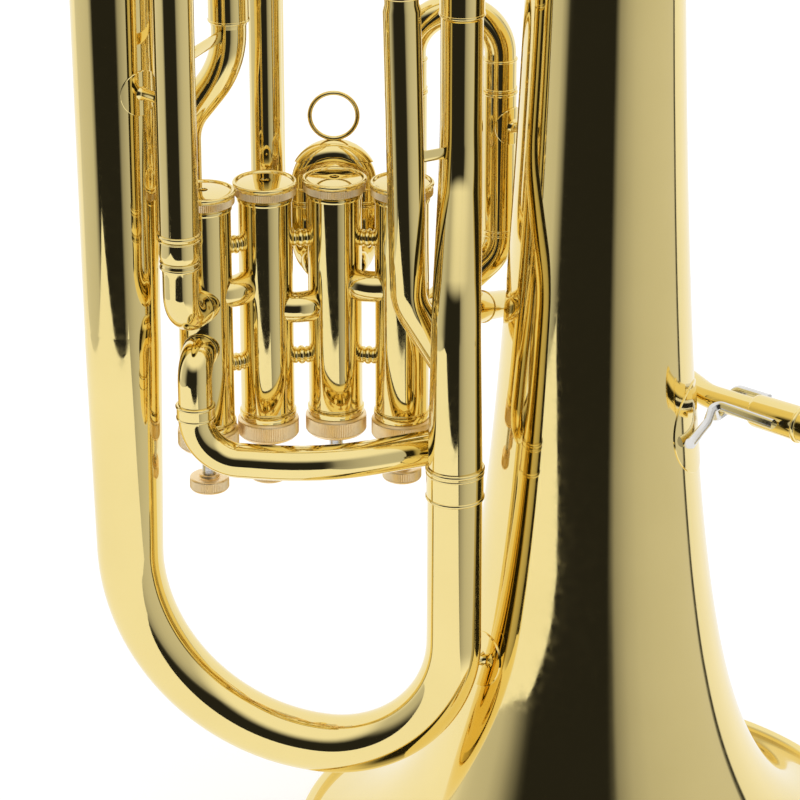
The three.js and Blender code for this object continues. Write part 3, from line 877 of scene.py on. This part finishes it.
def bottom_cap(number, valve):
    """A polished, slightly domed cap with a vent hole, a rounded rim and a narrow milled band."""
    node = f"valve_{number}_bottom_cap"
    face = BOTTOM_CAP_FACE
    vent = 2.0
    outline = [(vent, face - 0.9), (vent + 0.25, face - 0.15)]
    outline += [(3 + i, face - 0.1 - 0.011 * (1 + i) ** 1.8) for i in range(10)]
    outline += [(12.6, face - 1.05)]
    outline += arc(13.7, face - 1.15, 1.05, 150, -55, 10)
    outline += [(14.2, face - 2.15), (14.05, face - 2.5)]
    ridged_top, ridged_low = face - 2.9, face - 5.9
    outline += [(14.15, ridged_top + 0.15), (14.2, ridged_top)]
    outline += [(14.2, ridged_low), (14.1, ridged_low - 0.15)]
    outline += [(13.6, face - 6.3), (13.3, face - 6.6), (12.5, face - 6.6)]
    outline += [(12.5, face - 1.8), (vent, face - 1.8)]
    made = milled(node, valve, outline, (ridged_low, ridged_top, CAP_RIDGES, 0.3, 13.9))
    polish_outside(made, valve, ridged_low - 0.1, ridged_top + 0.1, 13.7)


def top_cap(number, valve):
    """A cap on the finger side: chamfered face, milled band and shoulder, all in satin brass."""
    node = f"valve_{number}_top_cap"
    face = TOP_CAP_FACE
    hole = STEM_RADIUS + 1.2
    ridged_low, ridged_top = face + 1.8, face + 8.4
    outline = [(hole, face + 0.4), (hole + 0.5, face), (12.3, face), (12.9, face + 0.25)]
    outline += [(13.7, face + 1.1), (14.0, face + 1.6), (14.1, ridged_low - 0.05)]
    outline += [(14.1, ridged_low), (14.1, ridged_top), (14.1, ridged_top + 0.05)]
    outline += [(13.9, ridged_top + 0.5), (13.5, ridged_top + 0.8), (12.9, face + 9.6)]
    outline += [(12.5, face + 9.6), (12.5, face + 3), (hole, face + 3)]
    milled(node, valve, outline, (ridged_low, ridged_top, CAP_RIDGES, 0.32, 13.9))


def button(number, valve):
    """A milled satin button with a plain back, a stem collar and a pearl disc."""
    node = f"valve_{number}_button"
    low, high = BUTTON_LOW, BUTTON_HIGH
    ridged_low, ridged_top = low + 1.3, high - 0.8
    outline = [(0, low + 1.6), (6.6, low + 1.6), (6.6, low + 0.3), (7.0, low), (7.8, low)]
    outline += [(8.7, low + 0.5), (9.1, low + 1.25), (9.1, ridged_low), (9.1, ridged_top)]
    outline += [(9.1, ridged_top + 0.05), (9.0, high - 0.35), (8.6, high - 0.05), (8.2, high)]
    outline += [(5.4, high - 0.15), (4.9, high + 0.1), (4.6, high + 1.2), (4.2, high + 1.5)]
    outline += [(0, high + 1.5)]
    milled(node, valve, outline, (ridged_low, ridged_top, BUTTON_RIDGES, 0.32, 9.0))
    disc = [(0, low + 0.05), (4, low + 0.12), (5.9, low + 0.4), (6.45, low + 0.75)]
    disc += [(6.5, low + 1.55), (0, low + 1.55)]
    inlay = lathe(f"valve_{number}_pearl", valve.x, valve.y, disc, 64)
    dress(inlay, "pearl", body=f"valve_{number}_moving")


def outside_casing(valve, port):
    """The point just outside a casing in the direction of a port."""
    reach = 13 / math.hypot(port[0] - valve.x, port[1] - valve.y)
    return (valve.x + (port[0] - valve.x) * reach, valve.y + (port[1] - valve.y) * reach, port[2])


def piston(number, valve):
    """Piston and stem: one bent passage, two windows, and a seat for the spring."""
    node = f"valve_{number}_piston"
    seat = 7
    depth = 8
    groove = [(PISTON_RADIUS, 236), (PISTON_RADIUS - 0.3, 236.3)]
    groove += [(PISTON_RADIUS - 0.3, 237.2), (PISTON_RADIUS, 237.5)]
    outline = [(0, BUTTON_HIGH + 1.6), (STEM_RADIUS, BUTTON_HIGH + 1.6), (STEM_RADIUS, PISTON_LOW)]
    outline += [(PISTON_RADIUS - 0.4, PISTON_LOW), (PISTON_RADIUS, PISTON_LOW + 0.4), *groove]
    outline += [(PISTON_RADIUS, PISTON_HIGH - 0.4), (PISTON_RADIUS - 0.4, PISTON_HIGH)]
    outline += [(seat, PISTON_HIGH), (seat, PISTON_HIGH - depth), (0, PISTON_HIGH - depth)]
    made = lathe(node + "_skin", valve.x, valve.y, outline, 72)
    own = [data for data in BRANCHES.values() if data.valve == number - 1]
    routes = [knuckle_route(VALVES[i + 1], VALVES[i], z) for i, z in enumerate(KNUCKLE_HEIGHTS)]
    inlet = own[0].corners[-1] if number == 1 else routes[number - 2][-1]
    outlet = own[-1].corners[-1] if number == 4 else routes[number - 1][0]
    ends = [outside_casing(valve, inlet), outside_casing(valve, outlet)]
    middle = (valve.x, valve.y, (inlet[2] + outlet[2]) / 2, 8)
    cutters = [bar("passage", [ends[0], middle, ends[1]], 5.8, 40)]
    slide_branches = [data for name, data in BRANCHES.items() if data in own and "slide" in name]
    for data in slide_branches:
        x, y, z = outside_casing(valve, data.corners[-1])
        inner = (valve.x + (x - valve.x) * 0.5, valve.y + (y - valve.y) * 0.5, z - STROKE)
        cutters.append(bar("window", [inner, (x, y, z - STROKE)], 5.2, 40))
    dress(cut(made, cutters), "piston_metal", node)


def valve_spring(number, valve):
    """A coil between the piston and the bottom cap, given a mesh of its own."""
    low, high = PISTON_HIGH + 0.9, BOTTOM_CAP_FACE - 2.5
    radius = PISTON_RADIUS - 1.2
    turns, steps = 4, 28
    points = []
    for i in range(turns * steps + 1):
        angle = 2 * math.pi * i / steps
        z = low + (high - low) * i / (turns * steps)
        points.append(Vector((valve.x + radius * math.cos(angle), valve.y + radius * math.sin(angle), z)))
    made = wire(f"valve_{number}_spring_skin", points, 0.6, 10)
    dress(made, "spring_steel", f"valve_{number}_spring")
    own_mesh(made)


def smooth_profile(points):
    """Adds two points to every step of a profile, along a smooth curve."""
    smooth = []
    for i in range(len(points) - 1):
        before, start = points[max(0, i - 1)], points[i]
        end, after = points[i + 1], points[min(len(points) - 1, i + 2)]
        for t in (0, 1 / 3, 2 / 3):
            blend = []
            for a, b, c, d in zip(before, start, end, after):
                square = (2 * a - 5 * b + 4 * c - d) * t**2
                cube = (3 * b - a - 3 * c + d) * t**3
                blend.append((2 * b + (c - a) * t + square + cube) / 2)
            smooth.append(tuple(blend))
    return smooth + [points[-1]]


def casing_spacers():
    """Ribbed beads soldered between neighbouring casings."""
    for i in range(3):
        first, second = VALVES[i], VALVES[i + 1]
        across = Vector((second.x - first.x, second.y - first.y, 0))
        gap = across.length - 2 * CASING_RADIUS
        length = gap + 1.0
        half = [(0, 3.4), (0.07, 3.8), (0.15, 4.0), (0.23, 3.8), (0.29, 3.4), (0.35, 3.9), (0.43, 4.25)]
        profile = half + [(0.5, 4.35)] + [(1 - share, radius) for share, radius in reversed(half)]
        for k, z in enumerate((308.8, 251.2)):
            start = Vector((first.x, first.y, z)) + across.normalized() * (CASING_RADIUS - 0.5)
            end = start + across.normalized() * length
            outline = [(0, 0)]
            for share, radius in smooth_profile(profile):
                outline.append((radius, length * share))
            outline.append((0, length))
            made = turned_between(f"spacer_{i + 1}_{i + 2}_{k + 1}", start, end, outline, 48)
            dress(made, "lacquered_brass", smooth_under=60)


def valves():
    for i, valve in enumerate(VALVES):
        casing(i + 1, valve)
        bottom_cap(i + 1, valve)
        top_cap(i + 1, valve)
        button(i + 1, valve)
        piston(i + 1, valve)
        valve_spring(i + 1, valve)
    casing_spacers()


# ---- Slides ----
FIRST_PLACES = [(x, FIRST_Y) for x in FIRST_LEGS]
SECOND_PLACES = [(x, SECOND_Y) for x in SECOND_LEGS]
THIRD_PLACES = [(THIRD_X, y) for y in THIRD_LEGS_Y]
SECOND_BOW_RADIUS = 6.5
# The legs' places, their ends, the sleeves' tops, the bend's height, leg and bow radius, ferrule length.
SLIDES = {
    "main_tuning_slide": (MAIN_INLET, MAIN_OUTLET, (437, 430), 488.3, 500, 7.85, 8.9, 11),
    "first_slide": (*FIRST_PLACES, (326, 326), 369.1, 386, 6.8, 7.6, 15.3),
    "second_slide": (*SECOND_PLACES, (303, 303), 317.8, SECOND_BEND_Z, 5.75, SECOND_BOW_RADIUS, 8),
    "third_slide": (*THIRD_PLACES, (436, 436), 500.3, 514, 7.3, 8.1, 12),
    "fourth_slide": (FOURTH_FRONT, FOURTH_REAR, (416, 416), 468.3, 482, 7.9, 8.8, 12),
}


def slides():
    """Each slide is one bent tube: two legs in the sleeves, and a bow with a ferrule at each end."""
    for node, (left, right, ends, seat, bend_z, leg_radius, bow_radius, ferrule) in SLIDES.items():
        radius = math.dist(left, right) / 2
        corners = [
            (*left, ends[0]),
            (*left, bend_z + radius, radius - 0.01),
            (*right, bend_z + radius, radius - 0.01),
            (*right, ends[1]),
        ]
        length = Route(corners).length
        first, last = seat - ends[0], length - (seat - ends[1])
        rise = 0.35
        bow = bow_radius - rise
        radii = [(first - 0.05, leg_radius), (first, bow), (last, bow), (last + 0.05, leg_radius)]
        details = [
            band(first + 0.02, first + ferrule, rise, beads=(first + 0.9, first + ferrule - 0.8), width=1.2),
            band(last - ferrule, last - 0.02, rise, beads=(last - ferrule + 0.8, last - 0.9), width=1.2),
        ]
        brass_tube(node, corners, radii, details=details, step=math.radians(3))


def main_sleeves():
    for node, place, radius in (
        ("main_slide_inlet_sleeve", MAIN_INLET, 8.85),
        ("main_slide_outlet_sleeve", MAIN_OUTLET, 10.1),
    ):
        low, high = box_mm(node)
        length = high.z - low.z
        details = [bead(0.8, 1.4, 0.35), bead(length - 0.9, 1.6, 0.5)]
        brass_tube(node, [(*place, low.z), (*place, high.z)], radius, wall=0.9, details=details)


def pull_ring():
    """The finger ring of the second slide, on a saddle that wraps its bow."""
    low, high = box_mm("second_slide_pull_ring")
    middle = (low + high) / 2
    thickness = 1.05
    radius = (high.x - low.x) / 2 - 1.0
    points = []
    for i in range(96):
        angle = 2 * math.pi * i / 96
        points.append(middle + Vector((radius * math.cos(angle), 0, radius * math.sin(angle))))
    made = wire("second_slide_pull_ring_skin", points, thickness, 20, closed=True)
    dress(made, "lacquered_brass", "second_slide_pull_ring")
    saddle_on_bow()


def saddle_on_bow():
    """A thin leaf that hugs the top of the second slide's bow, pointed at both ends."""
    left, right = SECOND_LEGS
    bow = (right - left) / 2
    centre = Vector(((left + right) / 2, SECOND_Y, SECOND_BEND_Z))
    skin = SECOND_BOW_RADIUS
    rows = []
    half_span = math.radians(62)
    for i in range(33):
        along = -1 + 2 * i / 32
        angle = along * half_span
        outward = Vector((math.sin(angle), 0, math.cos(angle)))
        reach = math.radians(82) * math.sqrt(max(0.0, 1 - along**2)) + 0.02
        across = []
        for radius, start, end in ((skin + 0.65, -reach, reach), (skin - 0.25, reach, -reach)):
            for j in range(17):
                turn = start + (end - start) * j / 16
                sideways = Vector((0, -1, 0)) * (radius * math.sin(turn))
                across.append(centre + outward * (bow + radius * math.cos(turn)) + sideways)
        rows.append(across)
    first, last = (sum(row, Vector()) / len(row) for row in (rows[0], rows[-1]))
    rings = [[first], *rows, [last]]
    made = new_object("second_slide_saddle", mesh_of("second_slide_saddle", rings, False))
    dress(made, "lacquered_brass", body="second_slide_body")


# ---- Water key on the main tuning slide ----
across_key = Vector((MAIN_OUTLET[0] - MAIN_INLET[0], MAIN_OUTLET[1] - MAIN_INLET[1], 0)).normalized()
out_of_key = Vector((across_key.y, -across_key.x, 0))
key_middle = Vector(((MAIN_INLET[0] + MAIN_OUTLET[0]) / 2, (MAIN_INLET[1] + MAIN_OUTLET[1]) / 2, 0))
PIVOT_OUT = 13.2
PIVOT_Z = 496
PLATE_OUT = 10
PLATE_Z = 491.5
CORK_Z = 515.4


def key_point(sideways, out, z):
    return tuple(key_middle + across_key * sideways + out_of_key * out + Vector((0, 0, z)))


def key_bar(name, start, end, radii, sides=32):
    """A bar between two points given as (sideways, out, z)."""
    return bar(name, [key_point(*start), key_point(*end)], radii, sides)


def water_key():
    leg_gap = 15.3
    parts = [key_bar("plate", (-leg_gap, PLATE_OUT, PLATE_Z), (leg_gap, PLATE_OUT, PLATE_Z), 1.1)]
    for side in (-4.6, 4.6):
        radii = [(0, 1.5), (3, 1.1), (6.5, 1.5)]
        parts.append(key_bar("post", (side, PLATE_OUT, PLATE_Z), (side, 14.6, PIVOT_Z), radii))
    for start, end in ((-6.2, -3.3), (3.3, 6.2)):
        parts.append(key_bar("pin", (start, PIVOT_OUT, PIVOT_Z), (end, PIVOT_OUT, PIVOT_Z), 0.9))
    dress(join("water_key_saddle_skin", parts), "lacquered_brass", "water_key_saddle")
    barrel = key_bar("barrel", (-2.9, PIVOT_OUT, PIVOT_Z), (2.9, PIVOT_OUT, PIVOT_Z), 1.8, 40)
    arm_route = [key_point(0, 15.8, 476), (*key_point(0, 13.6, PIVOT_Z), 20), key_point(0, 13.4, 518)]
    arm = bar("arm", arm_route, [(0, 1.5), (20, 1.6), (42, 1.2)])
    pad = key_bar("pad", (0, 10.6, CORK_Z), (0, 13.6, CORK_Z), [(0, 3.4), (1.6, 3.4), (3, 2.4)], 48)
    thumb_outline = [(0, 4.6), (0.5, 5.0), (1.3, 5.0), (1.8, 4.4)]
    thumb = key_bar("thumb", (0, 14.8, 478), (0, 16.6, 478), thumb_outline, 48)
    lever = join("water_key_lever_skin", [barrel, arm, pad, thumb])
    dress(lever, "lacquered_brass", "water_key_lever")
    disc = key_bar("water_key_cork", (0, 9.3, CORK_Z), (0, 10.8, CORK_Z), 3.1, 48)
    dress(disc, "cork", body="water_key_body")


# ---- Receiver, braces and flanges ----
RECEIVER_START = (74, 1.5, 225)
RECEIVER_END = (114.4, -33, 225)


def receiver():
    length = math.dist(RECEIVER_START, RECEIVER_END)
    outline = [(5.9, 0), (7.0, 0), (7.4, 0.5), (7.8, 2), (8.0, 24)]
    outline += [(8.0 + rise, s) for s, rise in bead(25.8, 2.4, 0.9)]
    outline += [(8.1, 27.6), (8.6, length - 4.4)]
    outline += [(8.6 + rise, s) for s, rise in bead(length - 3.3, 1.6, 0.5)]
    outline += [(8.9, length - 2.4), (9.6, length - 2.2), (9.6, length - 0.4)]
    outline += [(9.3, length), (6.5, length), (5.9, 16)]
    made = turned_between("mouthpiece_receiver_skin", RECEIVER_START, RECEIVER_END, outline, 96)
    dress(made, "lacquered_brass", "mouthpiece_receiver")


def leadpipe_brace():
    """A cast nickel-silver fork: its foot is on the bell, and its prongs hold the leadpipe."""
    foot_to_front = [(41.5, -28.5, 221), (51, -8, 222.5, 10), (55, 5.5, 226.8, 4), (80.6, -18.6, 226.5)]
    front = bar("front", foot_to_front, [(0, 2.5), (12, 2.1), (34, 2.1), (62, 2.3)], 36, three_sided)
    under_to_back = [
        (54.4, 1.5, 225.9),
        (57.0, 10.5, 217.0, 4),
        (63.6, 19.0, 217.8, 4),
        (66.2, 21.4, 227.6, 3.5),
        (81.0, 8.4, 227.8),
    ]
    back = bar("back", under_to_back, 2.0, 36, three_sided)
    made = join("leadpipe_brace_skin", [front, back])
    dress(made, "nickel_silver", "leadpipe_brace", smooth_under=40)


def three_sided(angle):
    """A round section pushed towards a triangle."""
    return 1 + 0.12 * math.cos(3 * angle + 0.6)


def flange(name, axis, radius_of, towards, z, size, thickness=0.7):
    """A thin round plate that hugs an upright tube or the bell, centred where it faces a point."""
    azimuth = math.atan2(towards[1] - axis[1], towards[0] - axis[0])
    steps = 14
    sides = 72
    sunk = -0.4

    def point_at(reach, angle, lift):
        height = z + reach * math.sin(angle) * 0.98
        radius = radius_of(height)
        turn = azimuth + reach * math.cos(angle) / radius
        out = radius + lift
        return Vector((axis[0] + out * math.cos(turn), axis[1] + out * math.sin(turn), height))

    profile = [(size * i / steps, thickness) for i in range(1, steps)]
    profile += [(size - 0.25, thickness), (size, thickness - 0.25), (size, sunk)]
    profile += [(size * i / steps, sunk) for i in range(steps - 1, -1, -2)]
    rings = [[point_at(0, 0, thickness)]]
    for reach, lift in profile:
        rings.append([point_at(reach, 2 * math.pi * k / sides, lift) for k in range(sides)])
    rings.append([point_at(0, 0, sunk)])
    made = new_object(name, mesh_of(name, rings, False))
    dress(made, "lacquered_brass")


def rod_between(node, start, end, radius):
    """A turned brace rod that swells at both ends."""
    length = math.dist(start, end)
    swell = [(0, radius + 1.6), (0.8, radius + 0.9), (2.0, radius + 0.2), (3.2, radius)]
    radii = swell + [(length - s, wide) for s, wide in reversed(swell)]
    made = bar(node + "_skin", [start, end], radii, 40)
    dress(made, "lacquered_brass", node)


def along(first, second, distance, z):
    """The point at a distance from the first x, y towards the second."""
    share = distance / math.dist(first, second)
    return (first[0] + (second[0] - first[0]) * share, first[1] + (second[1] - first[1]) * share, z)


BRACE_RADIUS = 2.4


def bell_brace(node, place, leg_radius, z, size):
    """A rod from the bell to an upright leg, and the flange where it stands on the bell."""
    start = along((0, 0), place, horn_radius(z), z)
    end = along((0, 0), place, math.hypot(*place) - leg_radius, z)
    rod_between(node, start, end, BRACE_RADIUS)
    flange(node.replace("brace", "flange"), (0, 0), horn_radius, place, z, size)


def braces():
    bell_brace("bell_bow_brace", (-68, -42), TOP_BOW_LEG_RADIUS, 113, 13)
    first_leg = (FIRST_LEGS[1], FIRST_Y)
    z = 353
    bell_brace("first_slide_bell_brace", first_leg, FIRST_BRANCH_RADIUS, z, 11)
    flange("first_slide_flange", first_leg, lambda height: FIRST_BRANCH_RADIUS, (0, 0), z, 9)
    z = 387
    distance = math.dist(BRANCH, FOURTH_FRONT)
    start = along(BRANCH, FOURTH_FRONT, BRANCH_RADIUS_AT_BRACE - 0.3, z)
    end = along(BRANCH, FOURTH_FRONT, distance - FOURTH_BRANCH_RADIUS, z)
    rod_between("branch_fourth_slide_brace", start, end, BRACE_RADIUS)
    flange("branch_flange", BRANCH, lambda height: BRANCH_RADIUS_AT_BRACE, FOURTH_FRONT, z, 10.5)
    flange("leadpipe_bell_flange", (0, 0), horn_radius, (48, -14), 223.4, 22, 0.6)


def flat_bars():
    """Short flat stays between neighbouring tubes."""
    stays = (
        ("fourth_slide_stay", FOURTH_FRONT, FOURTH_REAR, 8.6, 8.9, 405),
        ("main_slide_stay", (-88.1, -23), (-63, -9.5), 8.0, 9.2, 356),
    )
    for name, first, second, leave, arrive, z in stays:
        start = Vector(along(first, second, leave, z))
        end = Vector(along(first, second, math.dist(first, second) - arrive, z))
        direction = (end - start).normalized()
        thick = Vector((-direction.y, direction.x, 0)) * 0.75
        tall = Vector((0, 0, 2.6))
        soft = 0.25
        quarter = [(1, 1 - soft), (1 - soft * 2, 1)]
        top = quarter + [(-a, b) for a, b in reversed(quarter)]
        outline = [(-a, -b) for a, b in top] + top
        sections = [[centre + thick * a + tall * b for a, b in outline] for centre in (start, end)]
        rings = [[start], *sections, [end]]
        made = new_object(name, mesh_of(name, rings, False))
        dress(made, "lacquered_brass")


# ---- Studio ----
# Brightness of the room by direction, in degrees from -Y towards +X, seen by what the brass mirrors.
BACKDROP = 1.0
SIDE_PANEL = 0.64
SLIT = 0.02
FLOOR_LEVEL = 1.06
CEILING_LEVEL = 1.0
# Elevations, in degrees, between which one part of the room passes into the next.
WALL_SEAM = (-16, -8)
FLOOR_EDGE = (-38, -27)
CEILING_EDGE = (22, 48)
UPPER_ROOM = [
    (-180, BACKDROP), (-104, BACKDROP), (-92, 0.66), (-86, 0.60), (-74, 0.56), (-66, 0.42), (-58, 0.2),
    (-51, 0.05), (-47, SLIT), (12, SLIT), (16, 0.08), (19, 0.28), (30, 0.47), (42, 0.57), (55, 0.61),
    (72, SIDE_PANEL), (104, 0.67), (109, 0.66), (110, 0.05), (112.5, 0.05), (113.5, 0.92), (135, BACKDROP),
    (180, BACKDROP),
]
LOWER_ROOM = [
    (-180, BACKDROP), (-122, BACKDROP), (-114, 0.7), (-78, 0.64), (-66, 0.6), (-59, 0.35), (-53, SLIT),
    (12, SLIT), (16, 0.2), (19, 0.33), (30, 0.46), (42, 0.56), (55, 0.61), (72, SIDE_PANEL), (104, 0.68),
    (109, 0.67), (110, 0.05), (112.5, 0.05), (113.5, 0.94), (135, BACKDROP), (180, BACKDROP),
]


def maths(tree, operation, first, second=None):
    node = tree.nodes.new("ShaderNodeMath")
    node.operation = operation
    for socket, value in zip(node.inputs, (first, second)):
        if value is None:
            continue
        if isinstance(value, (int, float)):
            socket.default_value = value
        else:
            tree.links.new(value, socket)
    return node.outputs["Value"]


def room_ramp(tree, azimuth, stops):
    node = tree.nodes.new("ShaderNodeValToRGB")
    ramp = node.color_ramp
    while len(ramp.elements) < len(stops):
        ramp.elements.new(0.5)
    for element, (degrees, level) in zip(ramp.elements, stops):
        element.position = (degrees + 180) / 360
    for element, (degrees, level) in zip(ramp.elements, stops):
        element.color = (level, level, level, 1)
    tree.links.new(azimuth, node.inputs["Fac"])
    return node.outputs["Color"]


def blend_at(tree, sine, below, above, low_degrees, high_degrees):
    """Passes from one brightness to another between two elevations."""
    share = tree.nodes.new("ShaderNodeMapRange")
    share.interpolation_type = "SMOOTHSTEP"
    share.inputs["From Min"].default_value = math.sin(math.radians(low_degrees))
    share.inputs["From Max"].default_value = math.sin(math.radians(high_degrees))
    tree.links.new(sine, share.inputs["Value"])
    mixed = tree.nodes.new("ShaderNodeMix")
    mixed.data_type = "RGBA"
    tree.links.new(share.outputs["Result"], mixed.inputs["Factor"])
    for socket, value in ((mixed.inputs["A"], below), (mixed.inputs["B"], above)):
        if isinstance(value, float):
            socket.default_value = (value, value, value, 1)
        else:
            tree.links.new(value, socket)
    return mixed.outputs["Result"]


def studio():
    """A white room with pale side panels and a dark slit where the viewer stands."""
    world = bpy.data.worlds.new("studio")
    bpy.context.scene.world = world
    world.use_nodes = True
    tree = world.node_tree
    coordinates = tree.nodes.new("ShaderNodeTexCoord")
    split = tree.nodes.new("ShaderNodeSeparateXYZ")
    tree.links.new(coordinates.outputs["Generated"], split.inputs["Vector"])
    forward = maths(tree, "MULTIPLY", split.outputs["Y"], -1.0)
    turned = maths(tree, "ARCTAN2", split.outputs["X"], forward)
    azimuth = maths(tree, "MULTIPLY_ADD", turned, 1 / (2 * math.pi))
    azimuth.node.inputs[2].default_value = 0.5
    height = split.outputs["Z"]
    lower = room_ramp(tree, azimuth, LOWER_ROOM)
    upper = room_ramp(tree, azimuth, UPPER_ROOM)
    walls = blend_at(tree, height, lower, upper, *WALL_SEAM)
    with_floor = blend_at(tree, height, FLOOR_LEVEL, walls, *FLOOR_EDGE)
    room = blend_at(tree, height, with_floor, CEILING_LEVEL, *CEILING_EDGE)
    background = tree.nodes["Background"]
    tree.links.new(room, background.inputs["Color"])
    white = tree.nodes.new("ShaderNodeBackground")
    path = tree.nodes.new("ShaderNodeLightPath")
    choose = tree.nodes.new("ShaderNodeMixShader")
    tree.links.new(path.outputs["Is Camera Ray"], choose.inputs["Fac"])
    tree.links.new(background.outputs["Background"], choose.inputs[1])
    tree.links.new(white.outputs["Background"], choose.inputs[2])
    white.inputs["Color"].default_value = (1, 1, 1, 1)
    tree.links.new(choose.outputs["Shader"], tree.nodes["World Output"].inputs["Surface"])


def level_sheet(name, corners, depth, look):
    """A flat stage piece a little under the floor's height; look sets its shader's inputs."""
    mesh = bpy.data.meshes.new(name)
    mesh.from_pydata([(x, y, -depth) for x, y in corners], [], [(0, 1, 2, 3)])
    made = bpy.data.objects.new(name, mesh)
    bpy.context.scene.collection.objects.link(made)
    material = bpy.data.materials.new(name)
    shader = node_tree(material)[1]
    for socket, value in look.items():
        shader.inputs[socket].default_value = value
    mesh.materials.append(material)
    made.visible_shadow = False
    return made


def floor():
    size = 6.0
    look = {
        "Base Color": (0.8, 0.8, 0.81, 1),
        "Roughness": 0.9,
        "Specular IOR Level": 0.1,
        "Emission Color": (1, 1, 1, 1),
        "Emission Strength": 0.38,
    }
    corners = [(-size, -size), (size, -size), (size, size), (-size, size)]
    made = level_sheet("floor", corners, 0.0004, look)
    made.visible_glossy = False


def bright_sheet():
    """A white sheet on the floor in front, which only the polished brass sees."""
    left, right = BELL_X - 0.85, BELL_X + 0.04
    near, far = -0.63, 1.5
    look = {
        "Base Color": (0, 0, 0, 1),
        "Specular IOR Level": 0,
        "Emission Color": (1, 1, 1, 1),
        "Emission Strength": 1.0,
    }
    corners = [(left, near), (right, near), (right, far), (left, far)]
    made = level_sheet("bright_sheet", corners, 0.0002, look)
    made.visible_camera = False
    made.visible_diffuse = False
    made.visible_transmission = False


LENS = 157.5  # millimetres, over a sensor 36 wide
LOOKING_DOWN = 23.4  # degrees
CAMERA_PLACE = (BELL_X - 0.0903, -1.4831, 0.8724)  # metres


def camera():
    """Looks down on the valves from the player's side, through a long lens."""
    data = bpy.data.cameras.new("camera")
    data.lens = LENS
    data.sensor_width = 36
    data.clip_end = 50
    made = bpy.data.objects.new("camera", data)
    bpy.context.scene.collection.objects.link(made)
    made.location = CAMERA_PLACE
    made.rotation_euler = (math.radians(90 - LOOKING_DOWN), 0, 0)
    bpy.context.scene.camera = made


# ---- Assembly ----
bell()
bottom_bow()
outer_branch()
top_bow()
top_bow_ferrule()
tuning_outlet_branch()
crossover_tube()
crossover_ferrule()
valve_branches()
knuckles()
valves()
slides()
main_sleeves()
pull_ring()
water_key()
receiver()
leadpipe_brace()
braces()
flat_bars()
studio()
floor()
bright_sheet()
camera()
bpy.context.scene.view_settings.view_transform = "Standard"
